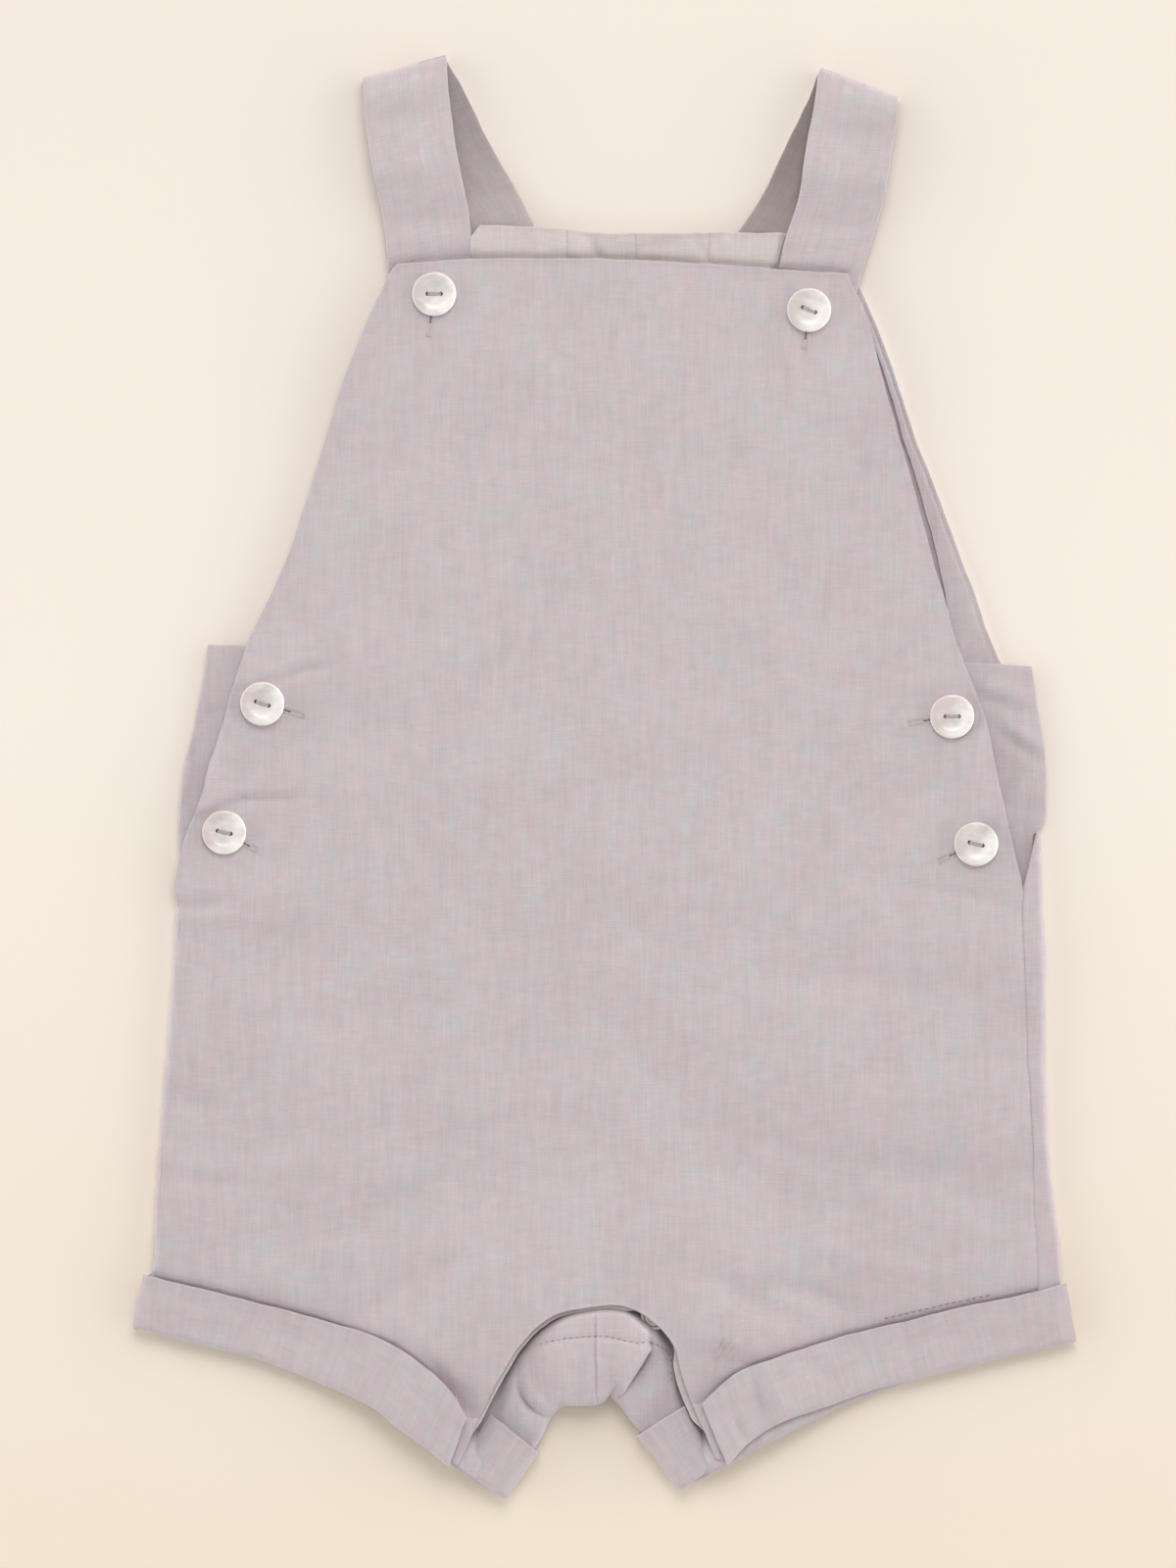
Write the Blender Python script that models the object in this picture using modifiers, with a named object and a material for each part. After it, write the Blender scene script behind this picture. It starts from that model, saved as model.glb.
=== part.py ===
"""A baby's short linen dungarees, laid flat on their back with the straps folded over.

The solids are cut and sewn as the garment is: a front, two back halves joined at a centre seam
and turned up between the legs, facings, side underlaps, folded straps, turn-ups, crotch
plackets, pearl buttons and snaps. X runs to the right as seen, Y towards the straps, Z up from
the surface. Tables and sizes are in millimetres; the meshes are made in metres.
"""
import math
from collections import namedtuple
from functools import partial

import bmesh
import bpy
import numpy as np
from mathutils import Vector

# Driving dimensions
MM = 0.001
CLOTH = 1.0  # wall of every cloth solid
GAP = 0.3  # air between pieces
PLY = CLOTH + GAP  # from the middle of one layer to the middle of the next
FLOOR_PLY = CLOTH / 2
SECOND_PLY = FLOOR_PLY + PLY

FRONT_LEVEL = 3.4  # middle of the front's wall over most of the garment
BIB_LEVEL = 4.8  # ... over the strap ends
ARCH_LEVEL = 7.9  # ... at the top of the crotch arch, over snaps and plackets
LEG_EDGE_LEVEL = 7.1  # ... at the inner ends of the legs
RETURN_LEVEL = 3.6  # the back's turned-up part, where the front covers it
ARCH_FLAT = 11.0  # the front stays raised this far from the arch
ARCH_FADE = 38.0  # and is down again here
ARCH_RISE = (-176.0, -158.0)  # heights between which the arch's edge rises to its top level
BIB_RISE = (84.0, 110.0)  # ... and the front rises onto the strap ends
FOLDS_END = (88.0, 108.0)  # the soft folds of the front die out here
TURN_UP_REST = (3.0, 15.0)  # the back comes down from its turn-ups between these distances

STRAIGHT_FROM = -100.0  # rows run straight across above this height
BIB_TOP_ROW = 130.0
SIDE_COLUMNS = 10  # columns over each leg and over the arch
BAND_ROWS = [0.08, 0.54, 1.0]  # a leg's hem band, from near its hem up to the cuff line
CUFF_ROWS = [0.0, 0.04, 0.10, 0.54, 1.0]  # the turn-up over it
CUFF_LIP = [0.1, 1.0, PLY, PLY, PLY]  # how far out each row lies: the hem edge rolls in
TUCK = 0.2  # where its outer end starts to roll in, between its first two columns
CENTRE_SEAM = ((-170.0, -2.3), (150.0, 4.7))  # height, place across
HALF_TURN = np.radians([-90, -45, 0, 45, 90])  # a fold's section, from its lower side up

BUTTON_RADIUS = 6.15
BUTTON_THICK = 2.0
SNAP_RADIUS = 4.0

# The garment's width at each height: the front's edges, and the back's folds and edges.
Section = namedtuple("Section", "y front_left front_right back_left back_right")
SECTIONS = [
    Section(-141.2, -122.9, 119.4, -124.8, 125.3),
    Section(-123.0, -121.4, 118.9, -123.3, 123.8),
    Section(-110.0, -120.6, 118.4, -122.5, 122.5),
    Section(-100.0, -119.6, 118.0, -121.5, 121.2),
    Section(-84.0, -118.7, 117.1, -120.6, 120.6),
    Section(-70.0, -117.4, 116.1, -119.3, 120.6),
    Section(-55.0, -115.9, 115.7, -117.8, 120.3),
    Section(-45.0, -115.4, 115.4, -117.3, 120.0),
    Section(-37.0, -115.0, 115.3, -116.9, 119.8),
    Section(-31.0, -117.9, 115.2, -116.9, 119.4),
    Section(-23.0, -117.1, 113.4, -116.6, 119.4),
    Section(-14.6, -114.9, 111.5, -114.4, 119.5),
    Section(-5.5, -111.1, 109.5, -113.0, 119.6),
    Section(4.0, -108.7, 107.3, -111.6, 119.0),
    Section(15.0, -105.1, 105.1, -108.8, 117.0),
    Section(25.0, -102.3, 101.8, -104.4, 112.6),
    Section(36.0, -98.5, 97.6, -97.2, 107.2),
    Section(48.0, -92.9, 94.0, -90.8, 103.0),
    Section(62.0, -86.7, 89.9, -84.4, 97.6),
    Section(77.0, -81.7, 86.0, -79.4, 92.0),
    Section(92.0, -77.2, 81.9, -74.8, 86.4),
    Section(107.0, -72.6, 77.2, -70.2, 81.2),
    Section(120.0, -67.7, 73.9, -65.2, 76.6),
    Section(BIB_TOP_ROW, -63.4, 70.9, -61.0, 72.8),
]
LEVELS = [row.y for row in SECTIONS if row.y >= STRAIGHT_FROM]
LEFT_WRAP_TOP = -37.0  # the back wraps round the side edge up to here
RIGHT_WRAP_TOP = -14.6
RIGHT_SEAM_TOP = -31.0  # and the front is sewn to it up to here
RIGHT_WRAP_SPREAD = 0.14  # how the wrap's free edge runs outwards above the seam
RIGHT_WRAP_TILT = 0.32  # its seam runs lower than its fold, by this slope, near the turn-up
RIGHT_TILT_FROM = (-100.0, -138.0)

# Edges across the garment, as points that a smooth curve runs through.
BIB_TOP = [(-59.0, 138.8), (-57.0, 141.6), (-37.0, 142.9), (-2.0, 142.9), (28.0, 141.6),
           (66.9, 138.9)]
BACK_TOP_LEFT = [(-57.8, 136.6), (-35.8, 151.0), (-19.0, 151.0), (4.55, 149.6)]
BACK_TOP_RIGHT = [(4.85, 149.6), (34.7, 150.0), (45.3, 149.0), (70.6, 134.8)]
ARCH = [(-34.4, -175.8), (-28.2, -163.6), (-19.3, -152.3), (-12.5, -147.8), (-4.5, -146.2),
        (6.3, -146.4), (13.5, -150.2), (18.8, -155.5), (20.9, -163.0), (24.2, -171.7)]
CUFF_LINE_LEFT = [(-122.9, -137.6), (-101.7, -142.8), (-80.1, -148.5), (-58.5, -155.8),
                  (-47.7, -163.1), (-42.3, -168.5), (-37.9, -175.8)]
HEM_LEFT = [(-125.6, -152.0), (-90.9, -161.2), (-74.7, -167.9), (-63.9, -172.8),
            (-55.2, -179.6), (-47.7, -185.2), (-43.0, -189.4)]
CUFF_LINE_RIGHT = [(26.8, -172.0), (32.0, -166.9), (37.4, -162.8), (44.1, -160.4),
                   (65.7, -153.6), (87.3, -148.2), (119.4, -141.2)]
HEM_RIGHT = [(33.4, -188.8), (40.1, -182.0), (45.5, -178.5), (60.3, -172.8), (73.8, -168.2),
             (98.1, -162.0), (122.3, -156.2)]
INNER_HEM_LEFT = (-40.8, -190.4)
INNER_HEM_RIGHT = (31.0, -188.6)
OUTER_CUFF_LEFT = ((-129.9, -150.9), (-126.9, -136.6))  # hem corner, cuff line corner
OUTER_CUFF_RIGHT = ((129.9, -154.4), (127.0, -139.0))
OUTER_BACK_CUFF_LEFT = ((-129.6, -151.4), (-126.9, -137.4))
OUTER_BACK_CUFF_RIGHT = ((129.6, -154.8), (127.0, -140.6))

# The back's turn-ups, from the side to the inner leg; their inner ends are worked out.
BACK_CUFF_LINE_LEFT = [(-123.9, -135.7), (-104.0, -141.4), (-86.0, -145.9), (-68.5, -152.6),
                       (-57.0, -158.0), (-46.0, -166.0), (-34.0, -174.5)]
BACK_HEM_LEFT = [(-126.0, -151.0), (-90.9, -160.4), (-74.7, -167.0), (-63.9, -172.0),
                 (-55.2, -178.6), (-47.7, -184.4), (-38.0, -191.7)]
BACK_CUFF_LINE_RIGHT = [(124.4, -138.8), (105.5, -143.6), (83.0, -149.0), (71.0, -153.3),
                        (59.0, -158.3), (48.0, -163.6), (28.0, -174.0)]
BACK_HEM_RIGHT = [(126.6, -154.6), (87.3, -164.3), (76.5, -168.3), (65.7, -172.3),
                  (54.9, -177.6), (44.1, -183.0), (32.0, -189.5)]

# The back turned up between the legs: a row for each section, from the centre seam to the cuff.
# The cloth runs over the fold and up to the end, which the front hides past the covered part.
Turn = namedtuple("Turn", "fold_x fold_y end_x end_y radius belly covered")
TURN_LEFT = [
    Turn(-2.45, -172.2, -2.35, -137.0, 2.5, 2.0, 0.75),
    Turn(-7.5, -172.3, -12.0, -138.5, 2.5, 1.8, 0.72),
    Turn(-12.3, -173.0, -22.0, -145.0, 2.4, 1.2, 0.70),
    Turn(-15.3, -176.3, -29.5, -153.0, 2.1, 0.6, 0.68),
    Turn(-17.0, -180.5, -35.0, -161.0, 1.7, 0.3, 0.62),
    Turn(-19.4, -184.4, -38.5, -168.8, 1.3, 0.1, 0.56),
]
TURN_LEFT_HEM = Turn(-28.4, -197.6, -43.4, -187.6, 1.3, 0.0, 0.72)
TURN_RIGHT = [
    Turn(-2.15, -172.2, -2.05, -137.0, 2.5, 2.2, 0.75),
    Turn(-0.4, -171.4, 8.0, -138.5, 2.5, 2.4, 0.75),
    Turn(1.3, -169.9, 17.0, -144.5, 2.4, 2.4, 0.75),
    Turn(2.9, -170.9, 18.7, -146.7, 1.8, 0.0, 0.78),
    Turn(4.6, -172.6, 21.0, -151.0, 1.7, 0.0, 0.80),
    Turn(7.0, -175.8, 24.5, -156.5, 1.6, 0.1, 0.75),
    Turn(9.6, -179.0, 27.2, -162.0, 1.4, 0.1, 0.68),
    Turn(11.8, -181.4, 29.5, -167.5, 1.3, 0.1, 0.60),
]
TURN_RIGHT_HEM = Turn(21.9, -195.2, 35.2, -184.9, 1.3, 0.0, 0.58)

# Straps: the band's two edges and its height at each station, from the bib up to the fold,
# then from the fold down to the neck.
Station = namedtuple("Station", "outer_x outer_y inner_x inner_y z")
STRAP_LEFT_FRONT = [
    Station(-57.6, 114.5, -36.2, 113.0, 3.3),
    Station(-58.7, 128.0, -36.2, 127.0, 3.3),
    Station(-59.4, 139.1, -36.3, 143.6, 3.3),
    Station(-60.5, 149.6, -37.3, 155.0, 3.3),
    Station(-62.2, 160.4, -39.2, 165.8, 3.6),
    Station(-64.6, 173.0, -41.4, 178.0, 3.8),
    Station(-66.2, 184.0, -42.9, 190.0, 3.7),
]
STRAP_LEFT_FOLD = Station(-66.8, 192.4, -43.6, 198.6, FLOOR_PLY)
STRAP_LEFT_BACK = [
    Station(-61.0, 182.0, -39.3, 190.8, FLOOR_PLY),
    Station(-54.0, 169.0, -33.0, 177.6, FLOOR_PLY),
    Station(-48.5, 158.8, -27.0, 166.6, 1.2),
    Station(-44.0, 150.5, -22.3, 158.0, SECOND_PLY),
    Station(-40.0, 142.0, -15.8, 145.0, SECOND_PLY),
]
STRAP_RIGHT_FRONT = [
    Station(64.0, 109.0, 41.5, 113.0, 3.3),
    Station(67.9, 126.0, 44.9, 128.0, 3.3),
    Station(70.9, 138.8, 48.2, 141.2, 3.3),
    Station(74.2, 149.6, 50.3, 149.6, 3.3),
    Station(76.9, 160.4, 53.6, 160.4, 3.6),
    Station(79.0, 172.0, 55.6, 173.0, 3.8),
    Station(80.6, 180.6, 57.4, 184.0, 3.7),
]
STRAP_RIGHT_FOLD = Station(81.3, 187.4, 59.3, 195.2, FLOOR_PLY)
STRAP_RIGHT_BACK = [
    Station(76.5, 178.0, 56.2, 187.6, FLOOR_PLY),
    Station(70.6, 165.0, 50.6, 175.0, FLOOR_PLY),
    Station(65.6, 154.6, 45.4, 164.0, 1.2),
    Station(60.6, 145.4, 40.4, 155.4, SECOND_PLY),
    Station(53.0, 136.0, 33.0, 145.0, SECOND_PLY),
]
STRAP_FOLD_RADIUS = 1.5

# Side underlaps, from the top down: the outer edge that shows and the inner edge that is hidden.
Underlap = namedtuple("Underlap", "outer_x outer_y inner_x inner_y")
UNDERLAP_LEFT = [
    Underlap(-109.2, 36.2, -78.0, 35.6),
    Underlap(-110.3, 28.1, -79.5, 24.0),
    Underlap(-112.7, 15.9, -83.0, 12.0),
    Underlap(-115.4, 3.8, -86.0, 0.0),
    Underlap(-116.8, -7.0, -88.5, -10.0),
    Underlap(-117.2, -17.8, -91.0, -20.0),
    Underlap(-115.4, -29.0, -93.0, -31.0),
]
UNDERLAP_RIGHT = [
    Underlap(117.6, 30.8, 84.0, 33.0),
    Underlap(119.5, 20.0, 86.0, 22.0),
    Underlap(120.8, 6.5, 88.0, 10.0),
    Underlap(121.3, -4.3, 90.0, -2.0),
    Underlap(119.8, -13.0, 91.5, -11.0),
    Underlap(117.6, -14.2, 92.5, -16.0),
    Underlap(117.0, -22.0, 93.0, -23.0),
    Underlap(115.6, -31.0, 94.0, -32.0),
]

NECK_FACING_TOP = [(-35.3, 149.2), (-33.0, 151.6), (-18.0, 151.4), (0.0, 149.9), (34.7, 150.2),
                   (45.2, 149.2)]
NECK_FACING_FOOT = [(-35.3, 127.0), (44.4, 127.0)]
ARMHOLE_FACING_WIDTH = 4.0
ARMHOLE_FACING_FOOT = {"left": 48.0, "right": 36.0}  # just above the side underlaps
ARMHOLE_FACING_TOP = 120.0
FACING_ON_STRAPS = ((-2.0, -11.0), (18.0, 27.0))  # it climbs onto the strap ends over these
FRONT_PLACKET_WIDTH = 8.5
FRONT_PLACKET_DROP = 1.7

# The largest soft folds of the front: place, direction, size and rise.
Fold = namedtuple("Fold", "x y angle length width rise")
FOLDS = [
    Fold(-92.0, -34.0, 4, 46, 14, 0.9),
    Fold(-78.0, 27.0, 12, 50, 16, 0.5),
    Fold(95.0, -44.0, -14, 60, 16, 0.8),
    Fold(34.0, -158.0, -8, 36, 16, 0.7),
    Fold(52.0, -136.0, -30, 44, 22, -0.6),
    Fold(-62.0, -96.0, 24, 90, 36, 0.7),
    Fold(48.0, -84.0, -14, 110, 40, 0.8),
    Fold(0.0, 40.0, 78, 150, 60, 0.7),
    Fold(-70.0, 66.0, 62, 70, 18, 0.6),
    Fold(66.0, 62.0, -70, 90, 18, 0.6),
    Fold(28.0, 4.0, 8, 80, 30, 0.5),
]

Button = namedtuple("Button", "name x y holes_turned")
BUTTONS = [
    Button("button_bib_left", -46.8, 133.2, 0),
    Button("button_bib_right", 56.3, 128.8, -22),
    Button("button_side_left_upper", -94.1, 20.5, -18),
    Button("button_side_left_lower", -104.6, -14.9, -13),
    Button("button_side_right_upper", 95.7, 17.0, 0),
    Button("button_side_right_lower", 102.3, -18.1, -14),
]
Snap = namedtuple("Snap", "name x y")
SNAPS = [
    Snap("snap_left", -17.6, -145.6),
    Snap("snap_centre", 1.2, -140.9),
    Snap("snap_right", 14.2, -146.9),
]


def soft_ramp(value, start, end):
    """0 at start and 1 at end, with a soft S between; start may be the larger."""
    t = np.clip((value - start) / (end - start), 0.0, 1.0)
    return t * t * (3 - 2 * t)


def through(points, fractions):
    """A smooth curve through the points, read at fractions of its chord length."""
    points = np.array(points, float)
    chords = np.linalg.norm(np.diff(points[:, :2], axis=0), axis=1)
    reached = np.concatenate([[0.0], np.cumsum(chords)])
    reached /= reached[-1]
    slopes = np.gradient(points, reached, axis=0)
    at = np.atleast_1d(np.asarray(fractions, float))
    i = np.clip(np.searchsorted(reached, at, side="right") - 1, 0, len(reached) - 2)
    run = (reached[i + 1] - reached[i])[:, None]
    t = (at[:, None] - reached[i][:, None]) / run
    start = (1 + 2 * t) * (1 - t) ** 2 * points[i] + t * (1 - t) ** 2 * run * slopes[i]
    end = t * t * (3 - 2 * t) * points[i + 1] - t * t * (1 - t) * run * slopes[i + 1]
    return start + end


def evenly(points, parts):
    return through(points, np.linspace(0, 1, parts + 1))


def edge_at(name, y):
    """Where the named edge of the section table lies at each height y."""
    heights = [row.y for row in SECTIONS]
    places = [getattr(row, name) for row in SECTIONS]
    return np.interp(y, heights, places)


def centre_edge(leg, y):
    """The back half's edge along the centre seam."""
    (low, low_x), (high, high_x) = CENTRE_SEAM
    apart = -GAP / 2 if leg == "left" else GAP / 2
    return low_x + (y - low) * (high_x - low_x) / (high - low) + apart


def inner_edge():
    """The front's inner leg edges and arch, as one path from the left hem to the right."""
    return [INNER_HEM_LEFT] + [tuple(p) for p in evenly(ARCH, 12)] + [INNER_HEM_RIGHT]


def distance_to(path, xy):
    """Distance from each point to a path of straight pieces."""
    xy = np.asarray(xy, float)[..., :2]
    nearest = np.full(xy.shape[:-1], np.inf)
    for a, b in zip(path[:-1], path[1:]):
        a, b = np.array(a[:2]), np.array(b[:2])
        along = np.clip(((xy - a) @ (b - a)) / ((b - a) @ (b - a)), 0, 1)
        nearest = np.minimum(nearest, np.linalg.norm(xy - a - along[..., None] * (b - a), axis=-1))
    return nearest


def fold_rise(xy):
    """Height that the soft folds add to the front."""
    rise = np.zeros(xy.shape[:-1])
    for fold in FOLDS:
        turn = math.radians(fold.angle)
        x, y = xy[..., 0] - fold.x, xy[..., 1] - fold.y
        along = (x * math.cos(turn) + y * math.sin(turn)) / (fold.length / 2)
        across = (y * math.cos(turn) - x * math.sin(turn)) / (fold.width / 2)
        rise = rise + fold.rise * np.exp(-along ** 2 - across ** 2)
    return rise


def front_level(xy):
    """Height of the middle of the front's wall above the surface."""
    xy = np.asarray(xy, float)[..., :2]
    y = xy[..., 1]
    raised = soft_ramp(distance_to(inner_edge(), xy), ARCH_FADE, ARCH_FLAT)
    arch_top = LEG_EDGE_LEVEL + (ARCH_LEVEL - LEG_EDGE_LEVEL) * soft_ramp(y, *ARCH_RISE)
    bib = (BIB_LEVEL - FRONT_LEVEL) * soft_ramp(y, *BIB_RISE)
    free = fold_rise(xy) * (1 - raised) * soft_ramp(y, *FOLDS_END[::-1])
    return FRONT_LEVEL + bib + free + (arch_top - FRONT_LEVEL) * raised


def back_level(xy):
    """Height of the middle of the back's wall: on the surface, lifted onto its turn-ups."""
    lines = [turn_up_line("left", 1.0), turn_up_line("right", 1.0)]
    near = np.minimum(*[distance_to(line, xy) for line in lines])
    return FLOOR_PLY + PLY * soft_ramp(near, *TURN_UP_REST[::-1])


def with_height(xy, level):
    z = level(xy) if callable(level) else np.full(np.shape(xy)[:-1], float(level))
    return np.concatenate([np.asarray(xy)[..., :2], z[..., None]], axis=-1)


def fill(bottom, top, left, right):
    """Rows of points filling four edges that share their corners."""
    bottom, top, left, right = [np.asarray(edge, float) for edge in (bottom, top, left, right)]
    u = np.linspace(0, 1, len(bottom))[None, :, None]
    v = np.linspace(0, 1, len(left))[:, None, None]
    between = (1 - v) * bottom[None] + v * top[None] + (1 - u) * left[:, None] + u * right[:, None]
    corners = ((1 - u) * (1 - v) * bottom[0] + u * (1 - v) * bottom[-1]
               + (1 - u) * v * top[0] + u * v * top[-1])
    return between - corners


def straight_rows(heights, left, right, columns):
    across = np.linspace(0, 1, columns + 1)[None, :, None]
    left = np.stack([left, heights], axis=-1)[:, None]
    right = np.stack([right, heights], axis=-1)[:, None]
    return left + (right - left) * across


def body(bottom, top, left, right, low_rows, top_rows):
    """A panel from its bottom edge up to straight rows, and on to its top edge. left and right
    give the place of its side edges at each height."""
    columns = len(bottom) - 1
    rows = np.array(LEVELS)
    middle = straight_rows(rows, left(rows), right(rows), columns)
    left_low = np.linspace(bottom[0][1], STRAIGHT_FROM, low_rows + 1)
    right_low = np.linspace(bottom[-1][1], STRAIGHT_FROM, low_rows + 1)
    left_edge = np.stack([left(left_low), left_low], axis=-1)
    right_edge = np.stack([right(right_low), right_low], axis=-1)
    left_edge[0], right_edge[0] = bottom[0][:2], bottom[-1][:2]
    low = fill(np.asarray(bottom)[:, :2], middle[0], left_edge, right_edge)
    steps = np.linspace(0, 1, top_rows + 1)[:, None]
    high = fill(middle[-1], top, middle[-1][0] + (top[0] - middle[-1][0]) * steps,
                middle[-1][-1] + (top[-1] - middle[-1][-1]) * steps)
    return np.concatenate([low[:-1], middle, high[1:]])


def between(low, high, fractions):
    """Rows from one edge to another, at fractions of the way."""
    low, high = np.asarray(low), np.asarray(high)
    return np.stack([low + (high - low) * v for v in fractions])


# Front -------------------------------------------------------------------------------------

def front_band(leg, rows, outer):
    """The front leg's hem band, from the hem (0) to the cuff line (1), in columns from the
    side of the garment inwards. outer says how far its first column reaches to the side."""
    is_left = leg == "left"
    line = CUFF_LINE_LEFT if is_left else CUFF_LINE_RIGHT[::-1]
    hem = HEM_LEFT if is_left else HEM_RIGHT[::-1]
    inner_line = ARCH[0] if is_left else ARCH[-1]
    inner_hem = INNER_HEM_LEFT if is_left else INNER_HEM_RIGHT
    corner_hem, corner_line = OUTER_CUFF_LEFT if is_left else OUTER_CUFF_RIGHT
    upper = evenly(line, SIDE_COLUMNS - 1)
    lower = evenly(hem, SIDE_COLUMNS - 1)
    out_upper = upper[0] + (np.array(corner_line) - upper[0]) * outer
    out_lower = lower[0] + (np.array(corner_hem) - lower[0]) * outer
    upper = np.vstack([out_upper, upper, [inner_line]])
    lower = np.vstack([out_lower, lower, [inner_hem]])
    return between(lower, upper, rows)


def front_grids():
    left = front_band("left", BAND_ROWS, outer=0.45)
    right = front_band("right", BAND_ROWS, outer=0.45)
    bottom = np.vstack([left[-1][1:], evenly(ARCH, SIDE_COLUMNS)[1:-1], right[-1][:0:-1]])
    top = evenly(BIB_TOP, len(bottom) - 1)
    top[1] = BIB_TOP[1]
    grid = body(bottom, top, partial(edge_at, "front_left"), partial(edge_at, "front_right"),
                low_rows=7, top_rows=1)
    return [with_height(part, front_level) for part in (grid, left, right)]


def inward(path, distance):
    """The path moved to its left-hand side, seen along it."""
    path = np.asarray(path, float)
    run = np.gradient(path, axis=0)
    run /= np.linalg.norm(run, axis=1)[:, None]
    return path + distance * np.stack([-run[:, 1], run[:, 0]], axis=-1)


def front_placket_grid():
    path = through(inner_edge(), np.linspace(0.13, 0.87, 17))
    strip = np.stack([inward(path, d) for d in (0.4, FRONT_PLACKET_WIDTH / 2, FRONT_PLACKET_WIDTH)])
    return with_height(strip, lambda xy: front_level(xy) - FRONT_PLACKET_DROP)


def moved_out(grid, distances):
    """The grid's points moved along its normals, each by its own distance."""
    normal = np.cross(np.gradient(grid, axis=1), np.gradient(grid, axis=0))
    normal /= np.linalg.norm(normal, axis=-1)[..., None]
    return grid + normal * distances[..., None]


def with_tucked_end(band):
    """The band with a column more near its outer end, where the turn-up rolls in, and how far
    out from the leg each point lies."""
    tucked = band[:, :1] + (band[:, 1:2] - band[:, :1]) * TUCK
    band = np.concatenate([band[:, :1], tucked, band[:, 1:]], axis=1)
    out = np.tile(np.array(CUFF_LIP)[:, None], (1, band.shape[1]))
    out[:, 0] = CUFF_LIP[0]
    return band, out


def front_cuff_grid(leg):
    band, out = with_tucked_end(front_band(leg, CUFF_ROWS, outer=1.0)[:, :-1])
    grid = with_height(band, front_level)
    grid[..., 2] += out
    return grid


# Back --------------------------------------------------------------------------------------

def turned(row, floor):
    """One section of the turned-up back: round the fold, then up to its end."""
    fold, end = np.array([row.fold_x, row.fold_y]), np.array([row.end_x, row.end_y])
    outwards = (fold - end) / np.linalg.norm(fold - end)
    start = fold - outwards * row.radius
    arc = [(*(start + outwards * row.radius * math.cos(a)), floor + row.radius * (1 + math.sin(a)))
           for a in HALF_TURN]
    top = floor + 2 * row.radius
    reach = np.array([row.covered / 3, row.covered * 2 / 3, row.covered, (1 + row.covered) / 2, 1])
    settle = soft_ramp(reach, 0.0, row.covered)
    puff = row.belly * np.sin(np.pi * np.clip(reach / row.covered, 0, 1))
    z = top + (RETURN_LEVEL - top) * settle + puff
    run = [(*(start + (end - start) * t), h) for t, h in zip(reach, z)]
    return np.array(arc + run)


def mixed(a, b, t):
    return Turn(*[p + (q - p) * t for p, q in zip(a, b)])


def band_turn(leg, v):
    """The turned section of the back's hem band, between the hem (0) and the cuff line (1)."""
    rows, hem = (TURN_LEFT, TURN_LEFT_HEM) if leg == "left" else (TURN_RIGHT, TURN_RIGHT_HEM)
    return turned(mixed(hem, rows[-1], v), SECOND_PLY)


def turn_up_line(leg, v, outer=None):
    """The lying part of the back's hem band, from the side inwards, at v between hem and line."""
    line, hem = ((BACK_CUFF_LINE_LEFT, BACK_HEM_LEFT) if leg == "left"
                 else (BACK_CUFF_LINE_RIGHT, BACK_HEM_RIGHT))
    inner = [band_turn(leg, k)[0][:2] for k in (0.0, 1.0)]
    lower = evenly(hem + [tuple(inner[0])], SIDE_COLUMNS - 1)
    upper = evenly(line + [tuple(inner[1])], SIDE_COLUMNS - 1)
    if outer is not None:
        corner_hem, corner_line = (OUTER_BACK_CUFF_LEFT if leg == "left"
                                   else OUTER_BACK_CUFF_RIGHT)
        lower = np.vstack([lower[0] + (np.array(corner_hem) - lower[0]) * outer, lower])
        upper = np.vstack([upper[0] + (np.array(corner_line) - upper[0]) * outer, upper])
    return lower + (upper - lower) * v


def back_band(leg, rows, outer):
    """The back leg's hem band: lying, round the inner leg, and turned up onto the front."""
    strip = []
    for v in rows:
        lying = with_height(turn_up_line(leg, v, outer), SECOND_PLY)
        strip.append(np.vstack([lying, band_turn(leg, v)[1:]]))
    return np.stack(strip)


def side_wrap(leg, start):
    """The back wrapped round the side edge, from the lying panel's edge to the front's seam."""
    rows = []
    for x, y, z in start:
        out, spread, tilt, seam_y = -1.0, 0.0, 0.0, y
        if leg == "right":
            out = 1.0
            spread = RIGHT_WRAP_SPREAD * max(0.0, y - RIGHT_SEAM_TOP)
            tilt = RIGHT_WRAP_TILT * soft_ramp(y, *RIGHT_TILT_FROM)
            seam_y = min(y, RIGHT_SEAM_TOP)
        seam = edge_at("front_" + leg, seam_y)
        free_edge = seam + out * GAP + spread
        radius = (front_level(np.array([seam, y])) - z) / 2
        points = [(x + out * radius * math.cos(a), y, z + radius * (1 + math.sin(a)))
                  for a in HALF_TURN]
        points.append((free_edge, y - tilt * abs(x - free_edge), points[-1][2]))
        rows.append(points)
    return np.array(rows)


def is_wrapped(leg, y):
    return y <= (LEFT_WRAP_TOP if leg == "left" else RIGHT_WRAP_TOP) + 0.01


def lying_edge(leg, y):
    """The lying back panel's outer edge: set in by the wrap's radius where it wraps round."""
    out = -1.0 if leg == "left" else 1.0
    radius = (FRONT_LEVEL - FLOOR_PLY) / 2
    return edge_at("back_" + leg, y) - out * radius * is_wrapped(leg, y)


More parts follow.
